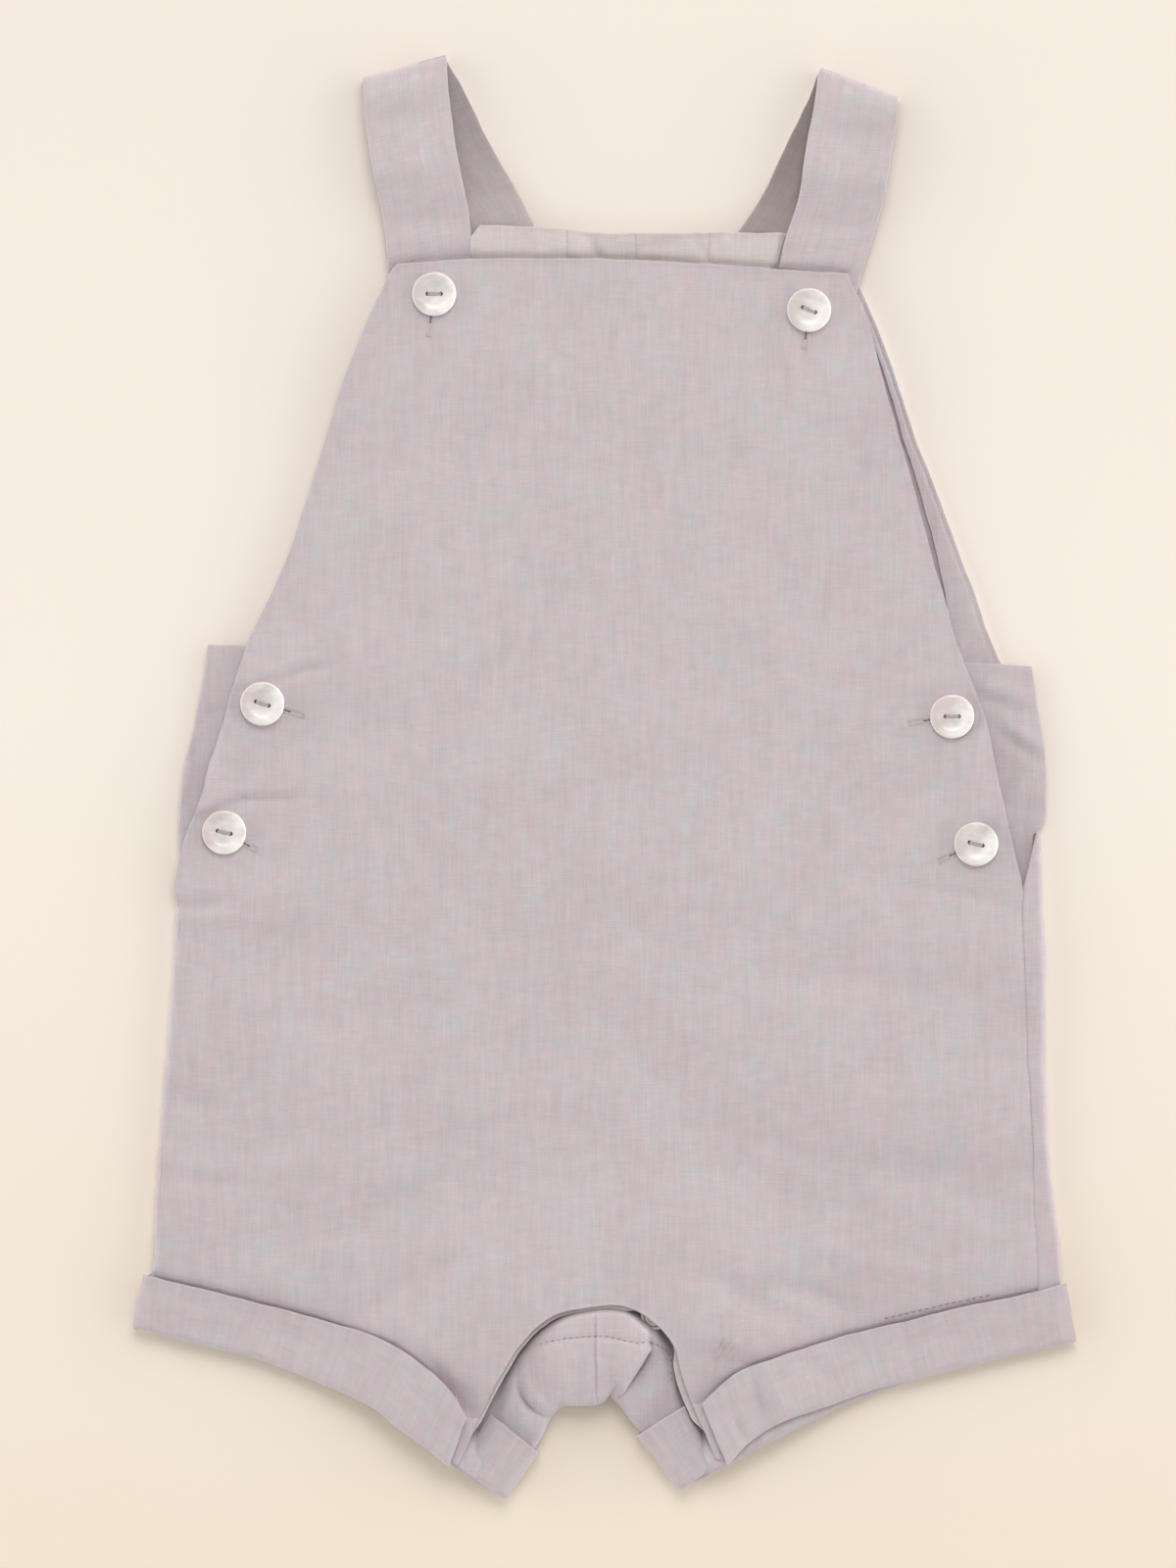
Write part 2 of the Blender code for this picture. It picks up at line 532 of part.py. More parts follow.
def back_grids(leg):
    turns = TURN_LEFT if leg == "left" else TURN_RIGHT
    upper_turns = []
    for row in turns[:-1]:
        start = turned(row, 0.0)[0][:2]
        upper_turns.append(turned(row, float(back_level(start))))
    upper_turns.append(band_turn(leg, 1.0))
    upper_turns = np.stack(upper_turns)
    line = turn_up_line(leg, 1.0)
    bottom = np.vstack([with_height(line, SECOND_PLY), upper_turns[-2::-1, 0]])
    edges = [partial(lying_edge, leg), partial(centre_edge, leg)]
    top = evenly(BACK_TOP_LEFT, len(bottom) - 1)
    if leg == "right":
        bottom, edges = bottom[::-1], edges[::-1]
        top = evenly(BACK_TOP_RIGHT, len(bottom) - 1)
    grid = with_height(body(bottom, top, *edges, low_rows=4, top_rows=2), back_level)
    grid[0] = bottom
    outer_edge = grid[:, 0] if leg == "left" else grid[:, -1]
    wrap = side_wrap(leg, [p for p in outer_edge if is_wrapped(leg, p[1])])
    return [grid, upper_turns, wrap, back_band(leg, BAND_ROWS, outer=0.4)]


def back_cuff_grid(leg):
    """The turn-up of the back leg: under the lying band, and over the turned-up one."""
    band, out = with_tucked_end(back_band(leg, CUFF_ROWS, outer=1.0)[:, :-2])
    return moved_out(band, -out if leg == "left" else out)


def back_placket_grid():
    """A strip under the turned-up back's end, across both halves."""
    strips = []
    for turns in (TURN_LEFT, TURN_RIGHT):
        rows = [turned(row, float(back_level(turned(row, 0.0)[0][:2]))) for row in turns[:-3]]
        strips.append(np.stack([row[-3:] for row in rows]))
    strip = np.concatenate([strips[0][:0:-1], strips[1]])
    strip[..., 2] = RETURN_LEVEL - PLY
    strip[:, 0] += (strip[:, 1] - strip[:, 0]) * 0.15
    strip[:, -1] -= (strip[:, -1] - strip[:, -2]) * 0.1
    return strip


# Facings, underlaps and straps -------------------------------------------------------------

def neck_facing_grid():
    top = evenly(NECK_FACING_TOP, 16)
    foot = evenly(NECK_FACING_FOOT, 16)
    grid = between(foot, top, np.linspace(0, 1, 4))

    def level(xy):
        climbs = [soft_ramp(xy[..., 0], *ends) for ends in FACING_ON_STRAPS]
        return SECOND_PLY + PLY * np.maximum(*climbs)
    return with_height(grid, level)


def armhole_facing_grid(leg):
    foot, top = ARMHOLE_FACING_FOOT[leg], ARMHOLE_FACING_TOP
    y = np.array([row.y for row in SECTIONS if foot <= row.y <= top])
    edge = np.stack([edge_at("back_" + leg, y), y], axis=-1)
    sign = 1.0 if leg == "left" else -1.0
    inner = edge + np.array([sign * ARMHOLE_FACING_WIDTH, 0.0])
    return with_height(np.stack([edge, inner], axis=1), SECOND_PLY)


def underlap_grid(rows):
    outer = np.array([(row.outer_x, row.outer_y) for row in rows])
    inner = np.array([(row.inner_x, row.inner_y) for row in rows])
    return with_height(np.stack([outer, (outer + inner) / 2, inner], axis=1), SECOND_PLY)


def strap_grid(front, fold, back):
    """A band running up the front, round the fold and down the back."""
    def edges(row):
        return [(row.outer_x, row.outer_y, row.z), (row.inner_x, row.inner_y, row.z)]

    rows = [edges(row) for row in front]
    outer, inner = np.array(edges(fold))
    along = (inner - outer)[:2] / np.linalg.norm((inner - outer)[:2])
    up = np.array([-along[1], along[0]]) * (1 if along[0] > 0 else -1)
    for a in -HALF_TURN:
        reach = STRAP_FOLD_RADIUS * (math.cos(a) - 1)
        z = FLOOR_PLY + STRAP_FOLD_RADIUS * (1 + math.sin(a))
        rows.append([(*(outer[:2] + up * reach), z), (*(inner[:2] + up * reach), z)])
    rows += [edges(row) for row in back]
    rows = np.array(rows)
    middle = rows.mean(axis=1, keepdims=True)
    return np.concatenate([rows[:, :1], middle, rows[:, 1:]], axis=1)


# Meshes ------------------------------------------------------------------------------------

def material(name, colour, roughness, metallic=0.0):
    made = bpy.data.materials.new(name)
    made.use_nodes = True
    shader = made.node_tree.nodes["Principled BSDF"]
    shader.inputs["Base Color"].default_value = (*colour, 1.0)
    shader.inputs["Roughness"].default_value = roughness
    shader.inputs["Metallic"].default_value = metallic
    return made


def sewn(name, grids, finish, collection):
    """One cloth wall from grids of points that meet at shared edges."""
    shell = bmesh.new()
    for grid in grids:
        points = [[shell.verts.new(Vector(p) * MM) for p in row] for row in grid]
        for low, high in zip(points[:-1], points[1:]):
            for a, b, c, d in zip(low[:-1], low[1:], high[1:], high[:-1]):
                shell.faces.new((a, b, c, d))
    bmesh.ops.remove_doubles(shell, verts=shell.verts, dist=0.01 * MM)
    bmesh.ops.recalc_face_normals(shell, faces=shell.faces)
    mesh = bpy.data.meshes.new(name)
    shell.to_mesh(mesh)
    shell.free()
    mesh.materials.append(finish)
    piece = bpy.data.objects.new(name, mesh)
    collection.objects.link(piece)
    wall = piece.modifiers.new("wall", "SOLIDIFY")
    wall.thickness = CLOTH * MM
    wall.offset = 0.0
    wall.use_even_offset = True
    return piece


def turned_disc(name, profile, segments, finish, holes, collection):
    """A disc turned from a profile of (radius, height), with round holes through it."""
    disc = bmesh.new()
    ring_points = [disc.verts.new((r * MM, 0, h * MM)) for r, h in profile]
    edges = [disc.edges.new(pair) for pair in zip(ring_points[:-1], ring_points[1:])]
    bmesh.ops.spin(disc, geom=ring_points + edges, cent=(0, 0, 0), axis=(0, 0, 1),
                   angle=2 * math.pi, steps=segments)
    bmesh.ops.remove_doubles(disc, verts=disc.verts, dist=0.001 * MM)
    bmesh.ops.recalc_face_normals(disc, faces=disc.faces)
    mesh = bpy.data.meshes.new(name)
    disc.to_mesh(mesh)
    disc.free()
    mesh.materials.append(finish)
    piece = bpy.data.objects.new(name, mesh)
    collection.objects.link(piece)
    for index, (x, radius) in enumerate(holes):
        bpy.ops.mesh.primitive_cylinder_add(vertices=8, radius=radius * MM, depth=8 * MM,
                                            location=(x * MM, 0, 0))
        drill = bpy.context.object
        drill.name = f"{name}_drill_{index}"
        drill.hide_render = True
        drill.display_type = "WIRE"
        cut = piece.modifiers.new("hole", "BOOLEAN")
        cut.operation = "DIFFERENCE"
        cut.object = drill
    bpy.context.view_layer.update()
    evaluated = piece.evaluated_get(bpy.context.evaluated_depsgraph_get())
    finished = bpy.data.meshes.new_from_object(evaluated)
    for index in range(len(holes)):
        bpy.data.objects.remove(bpy.data.objects[f"{name}_drill_{index}"])
    bpy.data.objects.remove(piece)
    finished.name = name
    return finished


def add_buttons(pearl, collection):
    hole_offset, hole_radius = 1.8, 0.7
    r, t = BUTTON_RADIUS, BUTTON_THICK
    profile = [(0, 1.05), (3.4, 1.1), (4.9, t - 0.1), (5.6, t), (r - 0.15, t - 0.4), (r, 0.9),
               (4.6, 0.1), (3.4, 0), (0, 0)]
    mesh = turned_disc("button", profile, 16, pearl,
                       [(-hole_offset, hole_radius), (hole_offset, hole_radius)], collection)
    for row in BUTTONS:
        button = bpy.data.objects.new(row.name, mesh)
        base = float(front_level(np.array([row.x, row.y]))) + CLOTH / 2 + GAP
        button.location = Vector((row.x, row.y, base)) * MM
        button.rotation_euler.z = math.radians(row.holes_turned)
        collection.objects.link(button)


def add_snaps(metal, collection):
    profile = [(0, 1.0), (1.6, 1.0), (SNAP_RADIUS - 0.7, 0.9), (SNAP_RADIUS, 0.5),
               (SNAP_RADIUS - 0.4, 0), (0, 0)]
    mesh = turned_disc("snap", profile, 12, metal, [], collection)
    for row in SNAPS:
        snap = bpy.data.objects.new(row.name, mesh)
        snap.location = Vector((row.x, row.y, RETURN_LEVEL + CLOTH / 2 + GAP)) * MM
        collection.objects.link(snap)


def main():
    for old in list(bpy.data.objects):
        bpy.data.objects.remove(old)
    garment = bpy.data.collections.new("dungarees")
    bpy.context.scene.collection.children.link(garment)
    linen = material("mauve linen", (0.56, 0.50, 0.52), 0.9)
    pearl = material("mother-of-pearl", (0.86, 0.83, 0.80), 0.25)
    metal = material("snap metal", (0.80, 0.80, 0.80), 0.3, metallic=1.0)

    cloth = {
        "front_panel": front_grids(),
        "front_snap_placket": [front_placket_grid()],
        "back_snap_placket": [back_placket_grid()],
        "neck_facing": [neck_facing_grid()],
        "strap_left": [strap_grid(STRAP_LEFT_FRONT, STRAP_LEFT_FOLD, STRAP_LEFT_BACK)],
        "strap_right": [strap_grid(STRAP_RIGHT_FRONT, STRAP_RIGHT_FOLD, STRAP_RIGHT_BACK)],
        "side_tab_left": [underlap_grid(UNDERLAP_LEFT)],
        "side_tab_right": [underlap_grid(UNDERLAP_RIGHT)],
    }
    for leg in ("left", "right"):
        cloth["back_panel_" + leg] = back_grids(leg)
        cloth["front_cuff_" + leg] = [front_cuff_grid(leg)]
        cloth["back_cuff_" + leg] = [back_cuff_grid(leg)]
        cloth["armhole_facing_" + leg] = [armhole_facing_grid(leg)]
    for name, grids in cloth.items():
        sewn(name, grids, linen, garment)
    add_buttons(pearl, garment)
    add_snaps(metal, garment)


main()
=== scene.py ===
"""Looks of a baby's short linen dungarees, laid flat on their back with the straps folded over.

Each cloth piece is a thin shell on its solid's form, made again with finer rows and with the
creases, edges and seams of soft linen. Buttonholes, stitches, pearl buttons with their thread
and the crotch snaps are added. Tables and sizes are in millimetres; meshes are made in metres.
X runs to the right as seen, Y towards the straps, Z up from the surface.
"""
import math
from collections import namedtuple
from functools import partial

import bmesh
import bpy
import numpy as np
from mathutils import Matrix, Vector, noise


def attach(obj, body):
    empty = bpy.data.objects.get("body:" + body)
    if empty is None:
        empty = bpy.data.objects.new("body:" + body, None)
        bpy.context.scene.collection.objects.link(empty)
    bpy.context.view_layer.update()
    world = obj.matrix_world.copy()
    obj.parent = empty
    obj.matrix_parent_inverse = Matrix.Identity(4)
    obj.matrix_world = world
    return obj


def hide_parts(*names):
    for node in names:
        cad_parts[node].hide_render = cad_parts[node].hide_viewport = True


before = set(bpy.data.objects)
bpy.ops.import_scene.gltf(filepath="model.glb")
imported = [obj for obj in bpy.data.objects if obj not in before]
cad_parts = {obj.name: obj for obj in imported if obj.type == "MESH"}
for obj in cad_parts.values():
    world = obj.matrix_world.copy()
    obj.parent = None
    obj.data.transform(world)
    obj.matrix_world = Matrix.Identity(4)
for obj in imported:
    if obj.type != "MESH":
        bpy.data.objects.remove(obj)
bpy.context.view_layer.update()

# Driving sizes -----------------------------------------------------------------------------
MM = 0.001
CLOTH = 1.0  # wall of the solids
GAP = 0.3  # air between them
PLY = CLOTH + GAP
FLOOR_PLY = CLOTH / 2  # middle of the lowest wall, and of the next one
SECOND_PLY = FLOOR_PLY + PLY

LINEN = 0.75  # the cloth's own thickness with its turned-in edges
EDGE_ROUND = 0.32
SEAM_ROUND = 0.14
SEAM = -0.01  # half the gap of a seam: the two edges are pressed into each other

# Heights of the middle of the cloth over the surface.
FRONT_LEVEL = 3.4
BIB_LEVEL = 4.8
ARCH_LEVEL = 7.9
LEG_EDGE_LEVEL = 7.1
RETURN_LEVEL = 3.6  # the turned-up back, where it lies under the front

# Where the front changes height: distances from the arch, then heights up the garment.
ARCH_FLAT = 11.0
ARCH_FADE = 55.0
ARCH_RISE = (-176.0, -158.0)
BIB_RISE = (84.0, 110.0)
FOLDS_END = (88.0, 108.0)
TURN_UP_REST = (3.0, 15.0)  # how near its turn-ups the lying back rises onto them

# Rows and columns. The rows are straight between two heights; below and above these the panels
# are about as high as LOW_PART and TOP_PART.
STRAIGHT_FROM = -100.0
BIB_TOP_ROW = 130.0
LOW_PART = 45
TOP_PART = 16
FRONT_ROW_STEP = 1.5
BACK_ROW_STEP = 3.0
LEG_COLUMNS = 48
OUTER_COLUMNS = 3  # from a leg's side towards its turn-up's outer corners
FRONT_BAND_ROWS = np.linspace(0.08, 1.0, 10)
BACK_BAND_ROWS = np.linspace(0.02, 1.0, 11)
FRONT_BAND_REACH = 0.45  # how far a leg's own band reaches towards those corners
BACK_BAND_REACH = 0.4
CENTRE_SEAM = ((-170.0, -2.3), (150.0, 4.7))  # two heights, each with the seam's place across
HALF_TURN = np.radians(np.linspace(-90, 90, 13))

# Rolled edges: rise and distance in of the crest, then of the hollow beside it, with widths.
RIM_RISE = 0.14
RIM_CREST = 0.3
RIM_CREST_WIDE = 0.45
RIM_HOLLOW = 0.4 * RIM_RISE
RIM_HOLLOW_IN = 4 * RIM_CREST
RIM_HOLLOW_WIDE = 0.6

# Furrows: depth, and the distance over which they fade.
SEAM_GROOVE = 0.45
SEAM_GROOVE_WIDE = 0.6
CUFF_FURROW = (0.85, 0.75)  # in the front, along its turn-ups' upper edges
BIB_FURROW = (1.0, 1.1)  # in the cloth under the bib's top edge
EDGE_FURROW = (1.1, 1.0)  # in the back's turn-up, along the front's inner leg edge

# The unevenness of ironed linen: height, size and seed of its noise.
CRUMPLES = {
    "front": (0.5, 34, 3.1),
    "front, finer": (0.16, 13, 7.7),
    "front turn-up": (0.16, 16, 21.3),
    "back turn-up": (0.2, 9, 4.4),
    "neck facing": (0.4, 11, 5.5),
    "armhole facing": (0.16, 9, 2.2),
    "underlap": (0.16, 12, 9.1),
    "strap": (0.5, 14, 6.6),
}
WAVES = ((0, 31.0), (1, 41.0))  # waviness in the plane: axis and seed
WAVE_SIZES = ((0.4, 18), (0.2, 5))

# Outlines ----------------------------------------------------------------------------------

def table(kind, *rows):
    """Rows of numbers with the names of their columns."""
    return [kind(*row) for row in rows]


Section = namedtuple("Section", "y front_left front_right back_left back_right")
SECTIONS = table(
    Section,
    (-141.2, -124.2, 119.6, -124.9, 126.2),
    (-131.0, -123.4, 119.3, -124.0, 125.5),
    (-123.0, -122.8, 118.7, -123.4, 124.3),
    (-110.0, -122.2, 118.4, -122.9, 123.0),
    (-100.0, -121.5, 118.0, -122.1, 121.7),
    (-84.0, -120.5, 117.2, -121.0, 121.2),
    (-70.0, -119.3, 116.4, -119.7, 120.9),
    (-55.0, -118.0, 115.9, -118.6, 120.8),
    (-45.0, -117.4, 115.5, -118.0, 120.7),
    (-36.0, -117.0, 115.3, -117.6, 120.5),
    (-31.5, -118.1, 115.2, -117.0, 120.1),
    (-23.0, -117.1, 113.4, -116.6, 119.9),
    (-14.6, -114.9, 111.5, -114.4, 119.9),
    (-5.5, -111.1, 109.5, -113.0, 119.8),
    (4.0, -108.7, 107.3, -111.6, 119.0),
    (15.0, -105.1, 105.1, -108.8, 117.0),
    (25.0, -102.3, 101.8, -104.4, 112.6),
    (36.0, -98.5, 97.6, -97.2, 107.2),
    (48.0, -92.9, 94.0, -90.8, 103.0),
    (62.0, -86.7, 89.9, -84.4, 97.6),
    (77.0, -81.7, 86.0, -79.4, 92.0),
    (92.0, -77.2, 81.9, -74.8, 86.4),
    (107.0, -72.6, 77.2, -70.2, 81.2),
    (120.0, -67.7, 73.9, -65.2, 76.6),
    (BIB_TOP_ROW, -63.4, 70.9, -61.0, 72.8),
)
LEFT_WRAP_TOP = -33.0  # heights where the back stops wrapping round the sides
RIGHT_WRAP_TOP = -14.6
RIGHT_SEAM_TOP = -31.0  # the right side's seam with the front ends lower than its wrap
WRAP_TUCK = {"left": 1.3, "right": 1.5}  # how far the wrap runs down behind the turn-up
RIGHT_WRAP_SPREAD = 0.27  # how fast the right wrap opens above its seam
RIGHT_WRAP_TILT = 0.32  # how far its seam edge slips down towards the hem
RIGHT_TILT_FROM = (-100.0, -138.0)

BIB_TOP = [(-59.0, 138.8), (-57.0, 141.6), (-37.0, 142.9), (-2.0, 142.9), (28.0, 141.6),
           (66.9, 138.9)]
BACK_TOP_LEFT = [(-57.8, 136.6), (-35.8, 151.0), (-19.0, 151.0), (4.55, 149.6)]
BACK_TOP_RIGHT = [(4.85, 149.6), (34.7, 150.0), (45.3, 149.0), (70.6, 134.8)]
ARCH = [(-34.4, -175.8), (-28.2, -163.6), (-19.3, -152.0), (-12.5, -147.1), (-4.5, -145.4),
        (6.3, -145.6), (13.5, -149.6), (18.8, -155.5), (20.9, -163.0), (24.2, -171.7)]
CUFF_LINE_LEFT = [(-123.8, -137.4), (-101.7, -142.8), (-80.1, -148.5), (-58.5, -155.8),
                  (-47.7, -163.1), (-42.3, -168.5), (-37.9, -175.8)]
HEM_LEFT = [(-125.6, -152.0), (-90.9, -161.2), (-74.7, -167.9), (-63.9, -172.8),
            (-55.2, -179.6), (-47.7, -185.2), (-43.0, -189.4)]
CUFF_LINE_RIGHT = [(26.8, -172.0), (32.0, -166.9), (37.4, -162.8), (44.1, -160.4),
                   (65.7, -153.6), (87.3, -148.2), (119.4, -141.2)]
HEM_RIGHT = [(33.4, -188.8), (40.1, -182.0), (45.5, -178.5), (60.3, -172.8), (73.8, -168.2),
             (98.1, -162.0), (122.3, -156.2)]
INNER_HEM_LEFT = (-40.8, -190.4)
INNER_HEM_RIGHT = (31.0, -188.6)
OUTER_CUFF_LEFT = ((-129.9, -150.9), (-126.9, -136.6))
OUTER_CUFF_RIGHT = ((129.9, -154.4), (127.0, -139.0))
OUTER_BACK_CUFF_LEFT = ((-129.6, -151.4), (-126.9, -137.4))
OUTER_BACK_CUFF_RIGHT = ((129.6, -154.8), (127.0, -140.6))

BACK_CUFF_LINE_LEFT = [(-123.1, -135.7), (-104.0, -141.4), (-86.0, -145.9), (-68.5, -152.6),
                       (-57.0, -158.0), (-46.0, -166.0), (-34.0, -174.5)]
BACK_HEM_LEFT = [(-126.0, -151.0), (-90.9, -160.4), (-74.7, -167.0), (-63.9, -172.0),
                 (-55.2, -178.6), (-47.7, -184.4), (-38.0, -191.7)]
BACK_CUFF_LINE_RIGHT = [(124.4, -138.8), (105.5, -143.6), (83.0, -149.0), (71.0, -153.3),
                        (59.0, -158.3), (48.0, -163.6), (28.0, -174.0)]
BACK_HEM_RIGHT = [(126.6, -154.6), (87.3, -164.3), (76.5, -168.3), (65.7, -172.3),
                  (54.9, -177.6), (44.1, -183.0), (32.0, -189.5)]

# The back turned up between the legs, a row for each section from the centre seam outwards.
Turn = namedtuple("Turn", "fold_x fold_y end_x end_y radius belly covered")
TURN_LEFT = table(
    Turn,
    (-2.25, -172.2, -2.15, -137.0, 2.5, 2.0, 0.75),
    (-7.5, -172.3, -12.0, -138.5, 2.5, 1.8, 0.72),
    (-12.3, -173.0, -22.0, -145.0, 2.4, 1.2, 0.70),
    (-15.3, -176.3, -29.5, -153.0, 2.1, 0.6, 0.68),
    (-17.0, -180.5, -35.0, -161.0, 1.7, 0.3, 0.62),
    (-19.4, -184.4, -38.5, -168.8, 1.3, 0.1, 0.56),
)
TURN_LEFT_HEM = Turn(-28.4, -197.6, -43.4, -187.6, 1.3, 0.0, 0.72)
TURN_RIGHT = table(
    Turn,
    (-2.35, -172.2, -2.25, -137.0, 2.5, 2.0, 0.75),
    (-0.4, -171.4, 8.0, -138.5, 2.5, 2.4, 0.75),
    (1.3, -169.9, 17.0, -144.5, 2.4, 2.4, 0.75),
    (2.9, -170.9, 18.7, -146.7, 1.8, 0.0, 0.78),
    (4.6, -172.6, 21.0, -151.0, 1.7, 0.0, 0.80),
    (6.5, -175.2, 24.5, -156.5, 1.6, 0.1, 0.75),
    (8.5, -177.8, 27.2, -162.0, 1.4, 0.1, 0.68),
    (10.4, -180.0, 29.5, -167.5, 1.3, 0.1, 0.60),
)
TURN_RIGHT_HEM = Turn(21.9, -195.2, 35.2, -184.9, 1.3, 0.0, 0.58)
SLOT_FROM = (0.90, 0.76)  # from where the turned-up back dips under the front: middle, sides
SLOT_SIDES = (8, 28)  # distances from the centre seam where the middle ends and the sides begin
SIDE_DIP = 0.9  # how much deeper it dips there than in the middle
SLOT_END = 1.03  # where it is all the way down, as a share of what the front covers
BELLY_SHAPE = 0.8  # under 1, the bulge between fold and front is fuller towards its ends
PLEAT_AFTER = 2  # the right half's pleat lies between this row and the next
PLEAT_LAP = 2.8
PLEAT_HOLLOW = 1.3
PLEAT_CLOSES = (-160.0, -154.0)  # it flattens out between these heights
PLEAT_SPREAD = 10  # how many fine rows beside it give way to it
PLEAT_FULL_LAP = 1.6  # the step in height from which it laps fully
# Rows over the pleat: place across (in laps from its middle), share of the way down, drop.
PLEAT_ROWS = ((0.5, 0.0, 0.1), (0.7, 0.4, 0.0), (-0.1, 0.88, 0.0))
TURN_STEPS = 8  # fine rows for each given one
PLACKET_STEPS = 5
CROTCH_FOLD = (-2.2, -172.0)
CROTCH_LIFT = 2.2  # how far the back's fold between the legs stands off the surface
CROTCH_SPREAD = (15, 5)  # distances from there over which it comes down

# Furrows in the turned-up back, seen from above: the row of stitches round its snap placket, the
# centre seam and the pleat, each with its depth and width.
PLACKET_LINE = [(-22.0, -157.7), (-18.0, -155.8), (-9.9, -153.9), (-4.5, -153.4), (0.9, -153.4),
                (6.3, -154.7), (9.0, -155.2), (12.0, -155.0), (17.4, -158.0), (18.5, -166.0)]
CENTRE_LINE = [(-2.3, -176.0), (-2.2, -137.0)]
PLEAT_LINE = [(12.8, -155.4), (11.6, -158.2), (9.9, -161.2), (6.6, -165.4), (2.3, -169.4),
              (-0.4, -171.2)]
BACK_FURROWS = ((PLACKET_LINE, 0.45, 0.7), (CENTRE_LINE, 0.6, 0.6), (PLEAT_LINE, 1.1, 0.9))

WRAP_LAST = (0.4, 0.75, 0.9, 1.0)  # the wrap's last points, on the way to the seam
WRAP_GROOVE_NARROW = 8

Station = namedtuple("Station", "outer_x outer_y inner_x inner_y z")
STRAP_LEFT_FRONT = table(
    Station,
    (-57.6, 114.5, -36.2, 113.0, 3.3),
    (-58.7, 128.0, -36.2, 127.0, 3.3),
    (-59.4, 139.1, -36.3, 143.6, 3.3),
    (-60.5, 149.6, -37.3, 155.0, 3.3),
    (-62.2, 160.4, -39.2, 165.8, 3.6),
    (-64.6, 173.0, -41.4, 178.0, 3.8),
    (-66.2, 184.0, -42.9, 190.0, 3.7),
)
STRAP_LEFT_FOLD = Station(-66.8, 192.4, -43.6, 198.6, FLOOR_PLY)
STRAP_LEFT_BACK = table(
    Station,
    (-61.0, 182.0, -39.3, 190.8, FLOOR_PLY),
    (-54.0, 169.0, -33.0, 177.6, FLOOR_PLY),
    (-48.5, 158.8, -27.0, 166.6, 1.2),
    (-44.0, 150.5, -22.3, 158.0, SECOND_PLY),
    (-40.0, 142.0, -15.8, 145.0, SECOND_PLY),
)
STRAP_RIGHT_FRONT = table(
    Station,
    (64.0, 109.0, 41.5, 113.0, 3.3),
    (67.9, 126.0, 44.9, 128.0, 3.3),
    (70.9, 138.8, 48.2, 141.2, 3.3),
    (74.2, 149.6, 50.3, 149.6, 3.3),
    (76.9, 160.4, 53.6, 160.4, 3.6),
    (79.0, 172.0, 55.6, 173.0, 3.8),
    (80.6, 180.6, 57.4, 184.0, 3.7),
)
STRAP_RIGHT_FOLD = Station(81.3, 187.4, 59.3, 195.2, FLOOR_PLY)
STRAP_RIGHT_BACK = table(
    Station,
    (76.5, 178.0, 56.2, 187.6, FLOOR_PLY),
    (70.6, 165.0, 50.6, 175.0, FLOOR_PLY),
    (65.6, 154.6, 45.4, 164.0, 1.2),
    (60.6, 145.4, 40.4, 155.4, SECOND_PLY),
    (53.0, 136.0, 33.0, 145.0, SECOND_PLY),
)
STRAP_FOLD_RADIUS = 1.5
# faces beyond a strap's fold lower than this get its painted shade
STRAP_PAINTED_SHADE_BELOW = 2.6
STRAP_PUFF = 1.7  # how much the upper run arches over the lower one
STRAP_PUFF_FROM = (150.0, 167.0)  # between these heights up the garment
STRAP_PUFF_TO = (198.0, 180.0)
STRAP_PUFF_OVER = (1.8, 3.2)  # and only above these heights over the surface
STRAP_DIP = 0.4  # how much it sinks under the bib
STRAP_DIP_FROM = (150, 145)
STRAP_SHOWN_FROM = (146, 152)

Underlap = namedtuple("Underlap", "outer_x outer_y inner_x inner_y")
UNDERLAP_SHOWN = (100, 106)  # distances from the middle between which creases set in
UNDERLAP_LEFT = table(
    Underlap,
    (-109.2, 36.8, -78.0, 36.2),
    (-110.3, 28.1, -79.5, 24.0),
    (-112.7, 15.9, -83.0, 12.0),
    (-115.4, 3.8, -86.0, 0.0),
    (-116.8, -7.0, -88.5, -10.0),
    (-117.2, -17.8, -91.0, -20.0),
    (-115.4, -29.0, -93.0, -31.0),
)
UNDERLAP_RIGHT = table(
    Underlap,
    (117.6, 30.8, 84.0, 33.0),
    (119.5, 20.0, 86.0, 22.0),
    (121.2, 6.5, 88.0, 10.0),
    (121.8, -4.3, 90.0, -2.0),
    (120.6, -13.0, 91.5, -11.0),
    (118.9, -14.6, 92.5, -16.0),
    (118.0, -22.0, 93.0, -23.0),
    (116.2, -31.0, 94.0, -32.0),
)

NECK_FACING_TOP = [(-36.75, 148.8), (-34.3, 151.9), (-18.0, 151.8), (0.0, 149.9),
                   (34.7, 150.2), (51.4, 149.9)]
NECK_FACING_FOOT = [(-36.0, 127.0), (50.0, 127.0)]
FACING_SEAMS = [(-10.1, 0.9), (8.8, 0.9), (29.0, 0.8)]  # place across, strength
FACING_SEAM_FURROW = (0.45, 0.5)  # depth and width
FACING_SEAM_RIDGE = (0.20, 2.0, 2.4)  # rise, width and place beside the furrow
FACING_ON_STRAPS = ((-2.0, -11.0), (18.0, 27.0))  # where it climbs onto the straps' lower runs
FACING_DIVES = (47.0, 50.6)  # where its right end runs down under the strap's upper run
FACING_DIVE_LEAN = 0.25
FACING_DIVE_HEIGHT = 149.9
ARMHOLE_FACING_WIDTHS = [(12.0, 30.0), (9.6, 44.0), (7.8, 53.0), (6.2, 62.0), (4.9, 73.0),
                         (3.6, 88.0), (2.9, 106.0), (2.4, 140.0)]  # each with its height
ARMHOLE_FACING_FOOT = {"left": 48.0, "right": 30.6}
ARMHOLE_FACING_TOP = 131.0
ARMHOLE_FACING_LEVEL = 1.35
ARMHOLE_FACING_GROOVE = (0.16, 0.4, 1.2)  # the sewn line: depth, width and how far in
ARMHOLE_FOOT_DIP = 0.4  # its foot lies under the side underlap
ARMHOLE_FOOT_FROM = (37, 32)

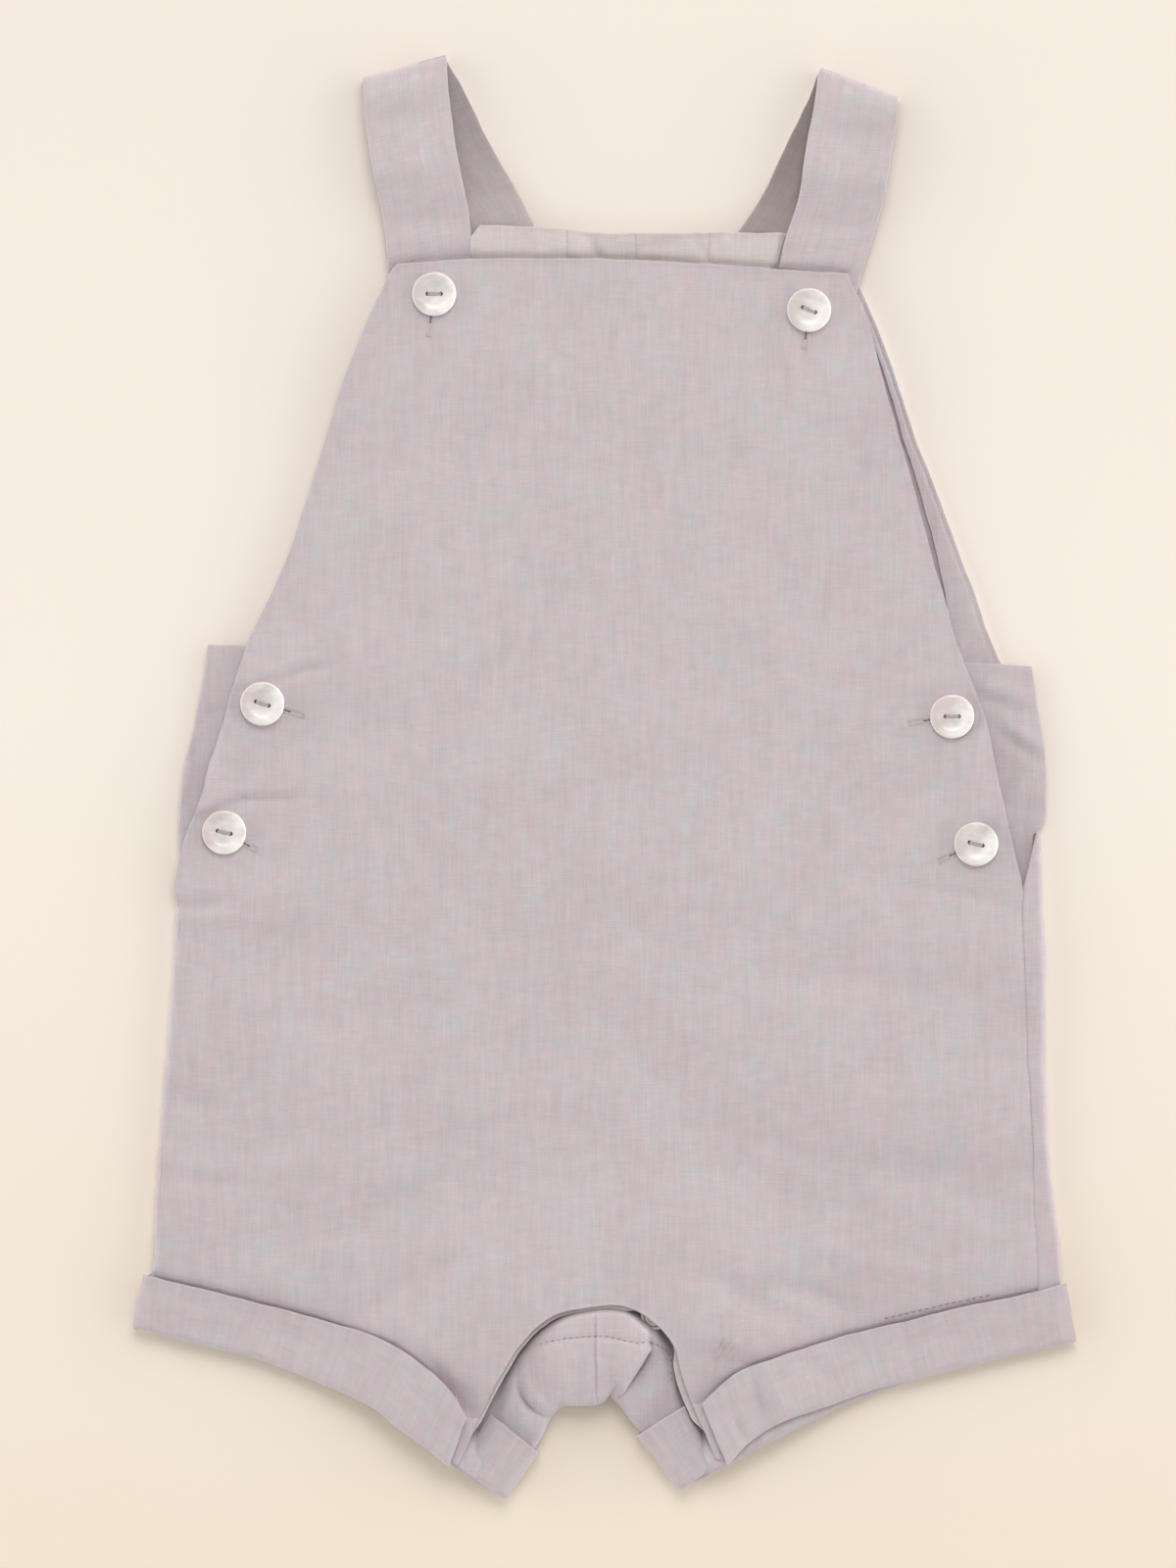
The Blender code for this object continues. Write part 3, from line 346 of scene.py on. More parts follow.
# The front's snap placket looks out from under the arch.
FRONT_PLACKET_WIDTH = 8.5
FRONT_PLACKET_DROP = 1.35
PLACKET_RUN = (0.07, 0.93)  # the part of the front's inner edge that it follows
PLACKET_FULL = (0.13, 0.88)  # the part of it where it looks out fully
PLACKET_SHOWN = (1.3, 1.9)  # how far it looks out from under the arch, left and right
PLACKET_HIDDEN = 0.1  # the same on the arch's top, to the right
PLACKET_HIDES = (6.0, 9.5)
PLACKET_SHOWS_AGAIN = (-155.0, -162.0)
HEM_STITCHES = (76.0, 106.0)  # the stretch of the right turn-up where its stitches show
HEM_STITCHES_OVER = 1.9  # how far over the turn-up's edge they run

# Soft folds and creases: middle, direction, size, rise (a trough where negative) and how far
# the line bows to its left.
Crease = namedtuple("Crease", "x y angle length width rise bow")
FRONT_FOLDS = table(  # the largest, as in the solid
    Crease,
    (-92.0, -34.0, 4, 46, 14, 0.9, 0),
    (-78.0, 27.0, 12, 50, 16, 0.5, 0),
    (95.0, -44.0, -14, 60, 16, 0.8, 0),
    (34.0, -158.0, -8, 36, 16, 0.7, 0),
    (52.0, -136.0, -30, 44, 22, -0.6, 0),
    (-62.0, -96.0, 24, 90, 36, 0.7, 0),
    (48.0, -84.0, -14, 110, 40, 0.8, 0),
    (0.0, 40.0, 78, 150, 60, 0.7, 0),
    (-70.0, 66.0, 62, 70, 18, 0.6, 0),
    (66.0, 62.0, -70, 90, 18, 0.6, 0),
    (28.0, 4.0, 8, 80, 30, 0.5, 0),
)
FRONT_CREASES = table(
    Crease,
    (106.5, 3.0, -80, 46, 9.0, 1.9, 0),
    (-109.5, 3.0, 80, 44, 8.0, 1.4, 0),
    (-90.0, 27.6, 16, 20, 2.4, -1.00, 0),
    (-90.4, 29.8, 16, 20, 2.4, 0.70, 0),
    (-79.0, 30.2, -4, 16, 3.0, -0.60, 0),
    (-106.0, -8.0, 22, 16, 2.4, -1.20, 0),
    (-106.5, -5.8, 22, 16, 2.4, 0.90, 0),
    (-94.0, -5.6, 2, 20, 2.6, -0.90, 0),
    (-94.0, -3.3, 2, 20, 2.6, 0.60, 0),
    (39.5, -143.1, -25, 26, 7.5, -1.90, 0),
    (-112.0, -35.0, 0, 18, 3.6, -1.30, 0),
    (-106.0, -38.5, -3, 26, 3.0, 0.30, -0.5),
    (-113.0, -89.5, -14, 18, 5.0, -0.70, 0),
    (-110.0, -111.0, -8, 24, 5.0, -0.70, 0),
    (-112.0, -107.0, -8, 24, 5.0, 0.40, 0),
    (88.0, -110.5, -14, 36, 12.0, -1.10, 1.0),
    (114.0, -109.0, -20, 12, 5.0, -0.50, 0),
    (-41.8, -168.0, -50, 20, 3.4, -1.30, 0),
    (-98.0, -37.5, -8, 30, 4.0, 0.36, -0.8),
    (96.0, -32.5, -12, 34, 3.4, -0.50, 0.8),
    (84.0, 8.0, -22, 34, 5.0, -0.36, 1.2),
    (88.0, -2.5, 10, 30, 5.0, -0.34, -1.0),
    (31.2, -159.4, -9, 18, 3.4, -1.10, 0.3),
    (32.0, -155.4, -12, 24, 3.2, 0.49, 0.6),
    (54.0, -142.5, -16, 34, 6.0, -1.45, 1.0),
    (74.0, -132.0, -12, 44, 7.0, 0.61, -1.6),
    (-52.0, -140.0, 28, 36, 6.0, -0.71, 1.4),
    (-66.0, -120.0, 22, 54, 8.0, -0.61, -2.0),
    (-84.0, -101.0, 10, 60, 9.0, -0.70, 2.0),
    (-40.0, -104.0, 14, 64, 9.0, 0.49, -2.4),
    (70.0, -104.0, -8, 62, 9.0, -0.72, -2.2),
    (88.0, -88.0, 6, 54, 8.0, 0.49, 1.6),
    (30.0, -112.0, -4, 70, 11.0, -0.52, 2.6),
    (-10.0, -92.0, 4, 80, 12.0, 0.45, 3.0),
    (-76.0, -64.0, 5, 58, 9.0, -0.52, -1.6),
    (74.0, -58.0, -7, 60, 9.0, -0.57, 1.8),
    (-30.0, -46.0, 2, 90, 12.0, -0.36, 3.0),
    (40.0, -22.0, 3, 80, 11.0, 0.32, -2.4),
    (60.0, 26.0, -15, 52, 8.0, -0.41, 1.6),
    (-58.0, 14.0, 10, 60, 9.0, -0.36, -2.0),
    (-48.0, 62.0, 66, 70, 9.0, -0.45, 2.6),
    (44.0, 72.0, -72, 80, 10.0, -0.45, -2.8),
    (58.0, 100.0, -62, 46, 6.0, 0.36, 1.6),
    (-46.0, 104.0, 70, 44, 6.0, 0.32, -1.4),
    (-47.0, 121.0, 84, 24, 5.0, -0.31, 0.6),
    (56.0, 117.0, -84, 24, 5.0, -0.31, -0.6),
    (6.0, 116.0, 0, 70, 9.0, 0.20, 2.0),
)
STRAP_CREASES = {
    "left": table(
        Crease,
        (-53.0, 181.0, 10, 34, 9, -1.28, 1.0),
        (-52.0, 168.0, 8, 34, 10, 0.96, 0),
        (-50.0, 154.0, 10, 32, 8, -0.80, -1.0),
        (-54.0, 190.0, 16, 26, 5, 0.56, 0),
    ),
    "right": table(
        Crease,
        (68.0, 178.0, -8, 34, 9, -1.28, -1.0),
        (66.0, 165.0, -6, 32, 10, 0.88, 0),
        (63.0, 151.0, -4, 30, 8, -0.80, 1.0),
        (70.0, 187.0, -16, 24, 5, 0.56, 0),
    ),
}
NECK_FACING_CREASES = table(
    Crease,
    (-3.0, 145.0, -64, 8, 2.6, -0.50, 0.6),
    (-8.0, 146.0, -78, 10, 3.4, 0.30, 0),
    (28.0, 144.8, -58, 8, 3.0, -0.60, -0.6),
    (34.0, 146.0, -60, 10, 4.2, 0.35, 0),
    (-22.0, 146.4, 74, 9, 3.4, -0.35, 0),
    (16.0, 147.0, 10, 16, 2.6, -0.30, 0),
)
UNDERLAP_CREASES = table(
    Crease,
    (107.5, 20.6, -12, 15, 3.0, -0.50, 0.5),
    (108.0, 24.0, -12, 16, 3.4, 0.70, 0.5),
    (115.0, 8.0, -36, 13, 2.8, -0.50, 0.3),
    (116.0, 11.0, -36, 14, 3.4, 0.80, 0.3),
    (114.0, -8.0, 5, 14, 4.0, -0.45, 0.3),
    (113.0, -4.0, 60, 20, 4.0, 0.26, 0.3),
    (-110.0, 16.0, 30, 18, 3.5, -0.30, 0.4),
    (-114.0, 0.0, 62, 20, 3.6, 0.24, 0.3),
)
CUFF_CREASES = table(
    Crease,
    (37.0, -177.6, -56, 12, 2.4, -0.95, 0),
    (34.4, -174.2, -50, 12, 2.6, 0.50, 0),
    (42.5, -172.5, -73, 15, 2.8, -1.05, 0.4),
    (47.5, -170.5, -66, 14, 3.0, 0.70, 0.3),
    (60.0, -164.0, -30, 22, 3.4, -0.41, 0.8),
    (86.0, -156.0, 8, 40, 4.4, -0.37, 0.8),
    (112.0, -149.5, 24, 20, 3.4, 0.34, 0.4),
    (-60.0, -166.0, -52, 16, 3.2, -0.51, 0.6),
    (-49.0, -175.0, -50, 16, 2.8, 0.48, 0.4),
    (-82.0, -156.0, -14, 40, 4.6, -0.41, 1.0),
    (-110.0, -147.5, -16, 26, 3.6, 0.34, -0.6),
    (-41.0, -170.0, -50, 24, 9.0, 1.1, 0),
)
TURNED_BACK_CREASES = table(
    Crease,
    (-20.4, -171.4, -52, 11, 1.8, -1.90, -1.4),
    (-18.0, -169.6, -50, 11, 2.2, 0.90, -1.4),
    (-34.3, -180.3, 54, 27, 1.7, -0.45, 0.5),
    (23.6, -175.4, -63, 30, 1.7, -0.45, 0.5),
    (13.0, -154.6, 30, 5, 4.0, -0.90, 0),
    (-12.0, -160.0, 40, 12, 4.0, -0.25, 0.6),
)
BACK_CREASES = table(  # seen from below: the cloth lifts a little off the surface
    Crease,
    (-70.0, -60.0, 20, 90, 14, 0.55, 3),
    (60.0, -84.0, -16, 100, 16, 0.60, -3),
    (-30.0, -120.0, 34, 60, 10, 0.55, 2),
    (36.0, -128.0, -36, 60, 10, 0.55, -2),
    (-50.0, 20.0, 62, 80, 14, 0.45, 2),
    (56.0, 30.0, -60, 80, 14, 0.45, -2),
    (10.0, 80.0, 4, 70, 16, 0.40, 3),
    (0.0, -30.0, 8, 90, 16, 0.50, -3),
)
BACK_CREASES_FADE = ((-136, -120), (118, 100), (88, 70))  # to the hems, the top and the sides

# Buttons: middle, how far the holes are turned, and the buttonhole's direction and length.
Button = namedtuple("Button", "name x y holes_turned slit_angle slit_length tint")
BUTTONS = table(
    Button,
    ("button_bib_left", -46.8, 133.2, 0, -98, 11.4, 0.0),
    ("button_bib_right", 56.3, 128.8, -22, -97, 10.4, 0.2),
    ("button_side_left_upper", -94.1, 20.5, -18, -16, 11.8, 0.1),
    ("button_side_left_lower", -104.6, -14.9, -13, -29, 10.0, 0.4),
    ("button_side_right_upper", 95.7, 17.0, 0, -171, 11.8, 1.0),
    ("button_side_right_lower", 102.3, -18.1, -14, -156, 11.2, 0.3),
)
BUTTON_RADIUS = 6.05
FLAT_AT_BUTTONS = (BUTTON_RADIUS - 2, BUTTON_RADIUS + 5)
BUTTON_STANDS = 0.42  # its foot's height over the middle of the cloth
HOLE_OFFSET = 1.8
HOLE_RADIUS = 0.6
PEARL_SHEEN_TOWARDS = (0.86, -0.5, 0.0)  # the direction in which a painted sheen makes a button lighter and silvery

Snap = namedtuple("Snap", "name x y")
SNAPS = table(
    Snap,
    ("snap_left", -17.6, -145.6),
    ("snap_centre", 1.2, -140.9),
    ("snap_right", 13.9, -147.9),
)
SNAP_RADIUS = 4.0


# Curves and surfaces -----------------------------------------------------------------------

def soft_ramp(value, start, end):
    """0 at start and 1 at end, with a soft S between; start may be the larger."""
    t = np.clip((value - start) / (end - start), 0.0, 1.0)
    return t * t * (3 - 2 * t)


def hermite(reached, points, at):
    """A smooth curve through the points, which it reaches at rising values."""
    slopes = np.gradient(points, reached, axis=0)
    i = np.clip(np.searchsorted(reached, at, side="right") - 1, 0, len(reached) - 2)
    run = (reached[i + 1] - reached[i])[:, None]
    t = (at[:, None] - reached[i][:, None]) / run
    start = (1 + 2 * t) * (1 - t) ** 2 * points[i] + t * (1 - t) ** 2 * run * slopes[i]
    end = t * t * (3 - 2 * t) * points[i + 1] - t * t * (1 - t) * run * slopes[i + 1]
    return start + end


def through(points, fractions):
    """A smooth curve through the points, read at fractions of its chord length."""
    points = np.array(points, float)
    chords = np.linalg.norm(np.diff(points[:, :2], axis=0), axis=1)
    reached = np.concatenate([[0.0], np.cumsum(chords)])
    return hermite(reached / reached[-1], points, np.atleast_1d(np.asarray(fractions, float)))


def evenly(points, parts):
    """A smooth curve through the points, in even parts."""
    return through(points, np.linspace(0, 1, parts + 1))


def cornered(points, fractions):
    """A path of straight pieces with crisp corners, read at fractions of its length."""
    points = np.array(points, float)
    steps = np.linalg.norm(np.diff(points, axis=0), axis=1)
    reached = np.concatenate([[0.0], np.cumsum(steps)]) / steps.sum()
    return np.stack([np.interp(fractions, reached, column) for column in points.T], axis=-1)


def fine_start(parts):
    """Even fractions with two more close to the start, for a rolled edge."""
    return np.concatenate([[0.0, 0.28 / parts, 0.62 / parts], np.linspace(0, 1, parts + 1)[1:]])


def fine_ends(parts):
    """The same at both ends."""
    start = fine_start(parts)
    return np.concatenate([start[:-1], 1 - start[2::-1]])


def edge_at(name, y):
    """Where the named edge of the section table lies at each height y."""
    heights = np.array([row.y for row in SECTIONS])
    places = np.array([[getattr(row, name)] for row in SECTIONS])
    at = np.atleast_1d(np.asarray(y, float))
    return hermite(heights, places, at)[:, 0].reshape(np.shape(y))


def centre_edge(leg, y):
    """The back half's edge along the centre seam."""
    (low, low_x), (high, high_x) = CENTRE_SEAM
    apart = -SEAM if leg == "left" else SEAM
    return low_x + (y - low) * (high_x - low_x) / (high - low) + apart


def inner_edge():
    """The front's inner leg edges and arch, as one path from the left hem to the right."""
    return [INNER_HEM_LEFT] + [tuple(p) for p in evenly(ARCH, 12)] + [INNER_HEM_RIGHT]


def distance_to(path, xy):
    """Distance from each point to a path of straight pieces."""
    xy = np.asarray(xy, float)[..., :2]
    nearest = np.full(xy.shape[:-1], np.inf)
    for a, b in zip(path[:-1], path[1:]):
        a, b = np.array(a[:2]), np.array(b[:2])
        along = np.clip(((xy - a) @ (b - a)) / ((b - a) @ (b - a)), 0, 1)
        nearest = np.minimum(nearest, np.linalg.norm(xy - a - along[..., None] * (b - a), axis=-1))
    return nearest


def bell(away, wide):
    """1 in the middle of a furrow or ridge, fading over the given width."""
    return np.exp(-(away / wide) ** 2)


def furrow(xy, path, depth, wide):
    """How far the cloth sinks along a path."""
    return depth * bell(distance_to(path, xy), wide)


def crease_rise(xy, creases):
    """Height that soft creases add: a bowed line, full at its middle, fading to its ends."""
    rise = np.zeros(xy.shape[:-1])
    for crease in creases:
        turn = math.radians(crease.angle)
        x, y = xy[..., 0] - crease.x, xy[..., 1] - crease.y
        along = (x * math.cos(turn) + y * math.sin(turn)) / (crease.length / 2)
        bowed = crease.bow * (1 - along ** 2)
        across = (y * math.cos(turn) - x * math.sin(turn) - bowed) / (crease.width / 2)
        rise = rise + crease.rise * np.exp(-along ** 2 - across ** 2)
    return rise


def crumple(xy, height, size, seed):
    """The slight unevenness of ironed linen: soft noise of this height and size."""
    flat = np.asarray(xy, float)[..., :2].reshape(-1, 2)
    values = [noise.noise(Vector((x / size, y / size, seed))) for x, y in flat]
    return height * np.array(values).reshape(np.shape(xy)[:-1])


def front_level(xy):
    """Height of the middle of the front's wall above the surface, without its fine creases."""
    xy = np.asarray(xy, float)[..., :2]
    y = xy[..., 1]
    raised = soft_ramp(distance_to(inner_edge(), xy), ARCH_FADE, ARCH_FLAT)
    arch_top = LEG_EDGE_LEVEL + (ARCH_LEVEL - LEG_EDGE_LEVEL) * soft_ramp(y, *ARCH_RISE)
    bib = (BIB_LEVEL - FRONT_LEVEL) * soft_ramp(y, *BIB_RISE)
    free = crease_rise(xy, FRONT_FOLDS) * (1 - raised) * soft_ramp(y, *FOLDS_END[::-1])
    return FRONT_LEVEL + bib + free + (arch_top - FRONT_LEVEL) * raised


def front_surface(xy):
    """The front's wall with its creases, flattened under the buttons."""
    fine = (crease_rise(xy, FRONT_CREASES) + crumple(xy, *CRUMPLES["front"])
            + crumple(xy, *CRUMPLES["front, finer"]))
    for line in (CUFF_LINE_LEFT, CUFF_LINE_RIGHT):
        fine = fine - furrow(xy, line, *CUFF_FURROW)
    for button in BUTTONS:
        away = np.hypot(xy[..., 0] - button.x, xy[..., 1] - button.y)
        fine = fine * soft_ramp(away, *FLAT_AT_BUTTONS)
    return front_level(xy) + fine


def back_level(xy):
    """Height of the middle of the back's wall: on the surface, lifted onto its turn-ups."""
    lines = [turn_up_line("left", 1.0), turn_up_line("right", 1.0)]
    near = np.minimum(*[distance_to(line[::4], xy) for line in lines])
    crotch = np.linalg.norm(np.asarray(xy)[..., :2] - np.array(CROTCH_FOLD), axis=-1)
    return (FLOOR_PLY + PLY * soft_ramp(near, *TURN_UP_REST[::-1])
            + CROTCH_LIFT * soft_ramp(crotch, *CROTCH_SPREAD))


def with_height(xy, level):
    """Places in the plane with a height, which is a number or a function of the place."""
    z = level(xy) if callable(level) else np.full(np.shape(xy)[:-1], float(level))
    return np.concatenate([np.asarray(xy)[..., :2], z[..., None]], axis=-1)


def fill(bottom, top, left, right, across, up):
    """Rows of points filling four edges that share their corners."""
    bottom, top, left, right = [np.asarray(edge, float) for edge in (bottom, top, left, right)]
    u = across[None, :, None]
    v = up[:, None, None]
    between = (1 - v) * bottom[None] + v * top[None] + (1 - u) * left[:, None] + u * right[:, None]
    corners = ((1 - u) * (1 - v) * bottom[0] + u * (1 - v) * bottom[-1]
               + (1 - u) * v * top[0] + u * v * top[-1])
    return between - corners


def straight_rows(heights, left, right, across):
    """A row of points at each height, from its left place to its right one."""
    left = np.stack([left, heights], axis=-1)[:, None]
    right = np.stack([right, heights], axis=-1)[:, None]
    return left + (right - left) * across[None, :, None]


def body(bottom, top, left, right, row_step, across):
    """A panel from its bottom edge up to straight rows, and on to its top edge. left and right
    give the place of its side edges at each height, across the fractions of its columns."""
    rows = np.linspace(STRAIGHT_FROM, BIB_TOP_ROW,
                       int((BIB_TOP_ROW - STRAIGHT_FROM) / row_step) + 1)
    middle = straight_rows(rows, left(rows), right(rows), across)
    steps = fine_start(int(LOW_PART / row_step))
    left_low = bottom[0][1] + (STRAIGHT_FROM - bottom[0][1]) * steps
    right_low = bottom[-1][1] + (STRAIGHT_FROM - bottom[-1][1]) * steps
    left_edge = np.stack([left(left_low), left_low], axis=-1)
    right_edge = np.stack([right(right_low), right_low], axis=-1)
    left_edge[0], right_edge[0] = bottom[0][:2], bottom[-1][:2]
    low = fill(np.asarray(bottom)[:, :2], middle[0], left_edge, right_edge, across, steps)
    steps = 1 - fine_start(int(TOP_PART / row_step))[::-1, None]
    high = fill(middle[-1], top, middle[-1][0] + (top[0] - middle[-1][0]) * steps,
                middle[-1][-1] + (top[-1] - middle[-1][-1]) * steps, across, steps[:, 0])
    return np.concatenate([low[:-1], middle, high[1:]])


def between(low, high, fractions):
    """Rows of points from one path to another with as many points."""
    low, high = np.asarray(low), np.asarray(high)
    return np.stack([low + (high - low) * v for v in fractions])


def with_side(path, corner, outer):
    """The path with more points before its start, that far (0 to 1) towards a corner."""
    reach = np.linspace(outer, 0, OUTER_COLUMNS + 1)[:-1, None]
    return np.vstack([path[0] + (np.array(corner) - path[0]) * reach, path])


def moved_out(grid, distances):
    """The grid's points moved along its normals, each by its own distance."""
    normal = np.cross(np.gradient(grid, axis=1), np.gradient(grid, axis=0))
    normal /= np.linalg.norm(normal, axis=-1)[..., None]
    return grid + normal * distances[..., None]


def flat_weave(grid):
    """The weave runs straight up the garment: its place on the cloth is its place across."""
    return grid[..., :2]


def band_weave(grid):
    """The weave follows a turned-up band: measured up from its hem and along it."""
    along = np.linalg.norm(np.diff(grid, axis=1), axis=-1)
    along = np.concatenate([np.zeros((len(grid), 1)), np.cumsum(along, axis=1)], axis=1)
    up = np.linalg.norm(np.diff(grid, axis=0), axis=-1)
    up = np.concatenate([np.zeros((1, grid.shape[1])), np.cumsum(up, axis=0)], axis=0)
    return np.stack([along.mean(axis=0)[None].repeat(len(grid), axis=0), up], axis=-1)


# Front -------------------------------------------------------------------------------------

def front_band(leg, rows, outer, with_inner):
    """The front leg's hem band, from the hem (0) to the cuff line (1), in columns from the
    side inwards. outer says how far it reaches to the side, with_inner adds the leg's edge."""
    is_left = leg == "left"
    line = CUFF_LINE_LEFT if is_left else CUFF_LINE_RIGHT[::-1]
    hem = HEM_LEFT if is_left else HEM_RIGHT[::-1]
    if with_inner:
        line = line + [ARCH[0] if is_left else ARCH[-1]]
        hem = hem + [INNER_HEM_LEFT if is_left else INNER_HEM_RIGHT]
    corner_hem, corner_line = OUTER_CUFF_LEFT if is_left else OUTER_CUFF_RIGHT
    upper = with_side(through(line, fine_start(LEG_COLUMNS)), corner_line, outer)
    lower = with_side(through(hem, fine_start(LEG_COLUMNS)), corner_hem, outer)
    return between(lower, upper, rows)


def front_grids():
    """The front in three grids: the panel above the cuff lines, and the two legs' hem bands."""
    left, right = [front_band(leg, FRONT_BAND_ROWS, FRONT_BAND_REACH, with_inner=True)
                   for leg in ("left", "right")]
    bottom = np.vstack([left[-1][OUTER_COLUMNS:], evenly(ARCH, LEG_COLUMNS)[1:-1],
                        right[-1][OUTER_COLUMNS:][::-1]])
    across = fine_ends(3 * LEG_COLUMNS)
    top = cornered(BIB_TOP, across)
    grid = body(bottom, top, partial(edge_at, "front_left"), partial(edge_at, "front_right"),
                FRONT_ROW_STEP, across)
    free = np.vstack([grid[grid[:, 0, 1] > LEFT_WRAP_TOP, 0], top,
                      grid[grid[:, 0, 1] > RIGHT_SEAM_TOP, -1][::-1]])
    seams = [grid[grid[:, 0, 1] <= LEFT_WRAP_TOP, 0], grid[grid[:, 0, 1] <= RIGHT_SEAM_TOP, -1]]
    grid = with_height(grid, front_surface)
    for seam in seams:
        grid[..., 2] -= furrow(grid, seam[::2], SEAM_GROOVE, SEAM_GROOVE_WIDE)
    grid[..., 2] += rim(distance_to(free[::2], grid)) + rim(distance_to(ARCH, grid))
    return [grid] + [with_height(part, front_surface) for part in (left, right)]


def rim(inside):
    """Rise of a rolled edge over the cloth this far inside it, with the hollow next to it."""
    return (RIM_RISE * bell(inside - RIM_CREST, RIM_CREST_WIDE)
            - RIM_HOLLOW * bell(inside - RIM_HOLLOW_IN, RIM_HOLLOW_WIDE))


def bib_furrow(xy):
    """How much the cloth under the bib's top edge gives way to it."""
    return furrow(xy, BIB_TOP, *BIB_FURROW)


def inward(path, distances):
    """The path moved to its left-hand side, seen along it."""
    run = np.gradient(path, axis=0)
    run /= np.linalg.norm(run, axis=1)[:, None]
    return path + distances[:, None] * np.stack([-run[:, 1], run[:, 0]], axis=-1)


def front_placket_grid():
    """The strip under the arch's edge, which looks out from under it by varying amounts."""
    along = np.linspace(*PLACKET_RUN, 105)
    path = through(inner_edge(), along)
    shown_left, shown_right = PLACKET_SHOWN
    past_top = soft_ramp(path[:, 0], *PLACKET_HIDES)
    shown = (shown_left + (PLACKET_HIDDEN - shown_left) * past_top
             + shown_right * past_top * soft_ramp(path[:, 1], *PLACKET_SHOWS_AGAIN))
    for end, full in zip(PLACKET_RUN, PLACKET_FULL):
        shown = shown * soft_ramp(along, end, full)
    strip = np.stack([inward(path, t * FRONT_PLACKET_WIDTH - (1 - t) * (shown - 0.2))
                      for t in fine_start(8)])
    return with_height(strip, lambda xy: front_level(xy) - FRONT_PLACKET_DROP)


CUFF_ROWS = np.concatenate([[0.0, 0.012, 0.03, 0.055, 0.085, 0.12], np.linspace(0.18, 0.9, 12),
                            [0.945, 0.965, 0.98, 1.0]])
CUFF_HEIGHT = 15.0
CUFF_LIFT = 0.5  # how far a turn-up's upper edge stands off
CUFF_LIFT_FROM = (5.0, 0.0)  # over this distance below its upper edge
CUFF_LEAST_OUT = 0.1
CUFF_HEM_ROLL = 0.11  # the share of its height that its rolled hem takes
CUFF_SIDE_ROLL = np.array([0.1, 0.72, 0.93])  # how far out its first columns lie
CUFF_TUCK_COLUMNS = 4  # how many of the band's columns a back turn-up ends short of
BAND_RISE = 0.55  # how far the back's hem stands off besides following the front's
BAND_RISE_UP_TO = (0.9, 0.2)


def rolled_out(band):
    """How far out from the leg each point of a turn-up lies: round at its hem and side."""
    from_hem = np.clip(CUFF_ROWS / CUFF_HEM_ROLL, 0, 1)
    rows = np.sqrt(np.clip(1 - (1 - from_hem) ** 2, 0, 1))
    columns = np.concatenate([CUFF_SIDE_ROLL, np.ones(band.shape[1] - len(CUFF_SIDE_ROLL))])
    below_top = (1 - CUFF_ROWS) * CUFF_HEIGHT
    top = rim(below_top) + CUFF_LIFT * soft_ramp(below_top, *CUFF_LIFT_FROM)
    out = CUFF_LEAST_OUT + (PLY - CUFF_LEAST_OUT) * np.minimum.outer(rows, columns)
    return out + top[:, None]


def front_cuff_grid(leg):
    """The turn-up of the front leg, out from its hem band."""
    band = front_band(leg, CUFF_ROWS, 1.0, with_inner=False)
    grid = with_height(band, front_level)
    grid[..., 2] += rolled_out(band) + crease_rise(band, CUFF_CREASES)
    grid[..., 2] += crumple(band, *CRUMPLES["front turn-up"])
    return grid


# Back --------------------------------------------------------------------------------------

def turned(row, floor, hollow=0.0):
    """One section of the turned-up back: round the fold, then up to its end."""
    fold, end = np.array([row.fold_x, row.fold_y]), np.array([row.end_x, row.end_y])
    outwards = (fold - end) / np.linalg.norm(fold - end)
    start = fold - outwards * row.radius
    arc = [(*(start + outwards * row.radius * math.cos(a)), floor + row.radius * (1 + math.sin(a)))
           for a in HALF_TURN]
    top = floor + 2 * row.radius
    from_middle = soft_ramp(abs(row.end_x - TURN_LEFT[0].end_x), *SLOT_SIDES)
    slot = row.covered * (SLOT_FROM[0] + (SLOT_FROM[1] - SLOT_FROM[0]) * from_middle)
    slot_end = row.covered * SLOT_END
    reach = np.concatenate([np.linspace(0, slot, 31)[1:], np.linspace(slot, slot_end, 9)[1:],
                            np.linspace(slot_end, 1, 5)[1:]])
    arch = np.sin(np.pi * np.clip(reach / row.covered, 0, 1))
    low = RETURN_LEVEL - SIDE_DIP * from_middle
    z = top + (low - top) * soft_ramp(reach, slot, slot_end)
    z = z + row.belly * arch ** BELLY_SHAPE - PLEAT_HOLLOW * hollow * arch
    xy = start + (end - start) * reach[:, None]
    return np.vstack([arc, np.column_stack([xy, z])])


def mixed(a, b, t):
    """The section that lies at t (0 to 1) between two."""
    return Turn(*[p + (q - p) * t for p, q in zip(a, b)])


def band_turn(leg, v):
    """The turned section of the back's hem band, between the hem (0) and the cuff line (1)."""
    rows, hem = (TURN_LEFT, TURN_LEFT_HEM) if leg == "left" else (TURN_RIGHT, TURN_RIGHT_HEM)
    return turned(mixed(hem, rows[-1], v), SECOND_PLY)


def turn_up_line(leg, v, outer=None):
    """The lying part of the back's hem band, from the side inwards, at v between hem and line."""
    line, hem = ((BACK_CUFF_LINE_LEFT, BACK_HEM_LEFT) if leg == "left"
                 else (BACK_CUFF_LINE_RIGHT, BACK_HEM_RIGHT))
    inner = [band_turn(leg, k)[0][:2] for k in (0.0, 1.0)]
    lower = evenly(hem + [tuple(inner[0])], LEG_COLUMNS)
    upper = evenly(line + [tuple(inner[1])], LEG_COLUMNS)
    if outer is not None:
        corner_hem, corner_line = (OUTER_BACK_CUFF_LEFT if leg == "left"
                                   else OUTER_BACK_CUFF_RIGHT)
        lower = with_side(lower, corner_hem, outer)
        upper = with_side(upper, corner_line, outer)
    return lower + (upper - lower) * v


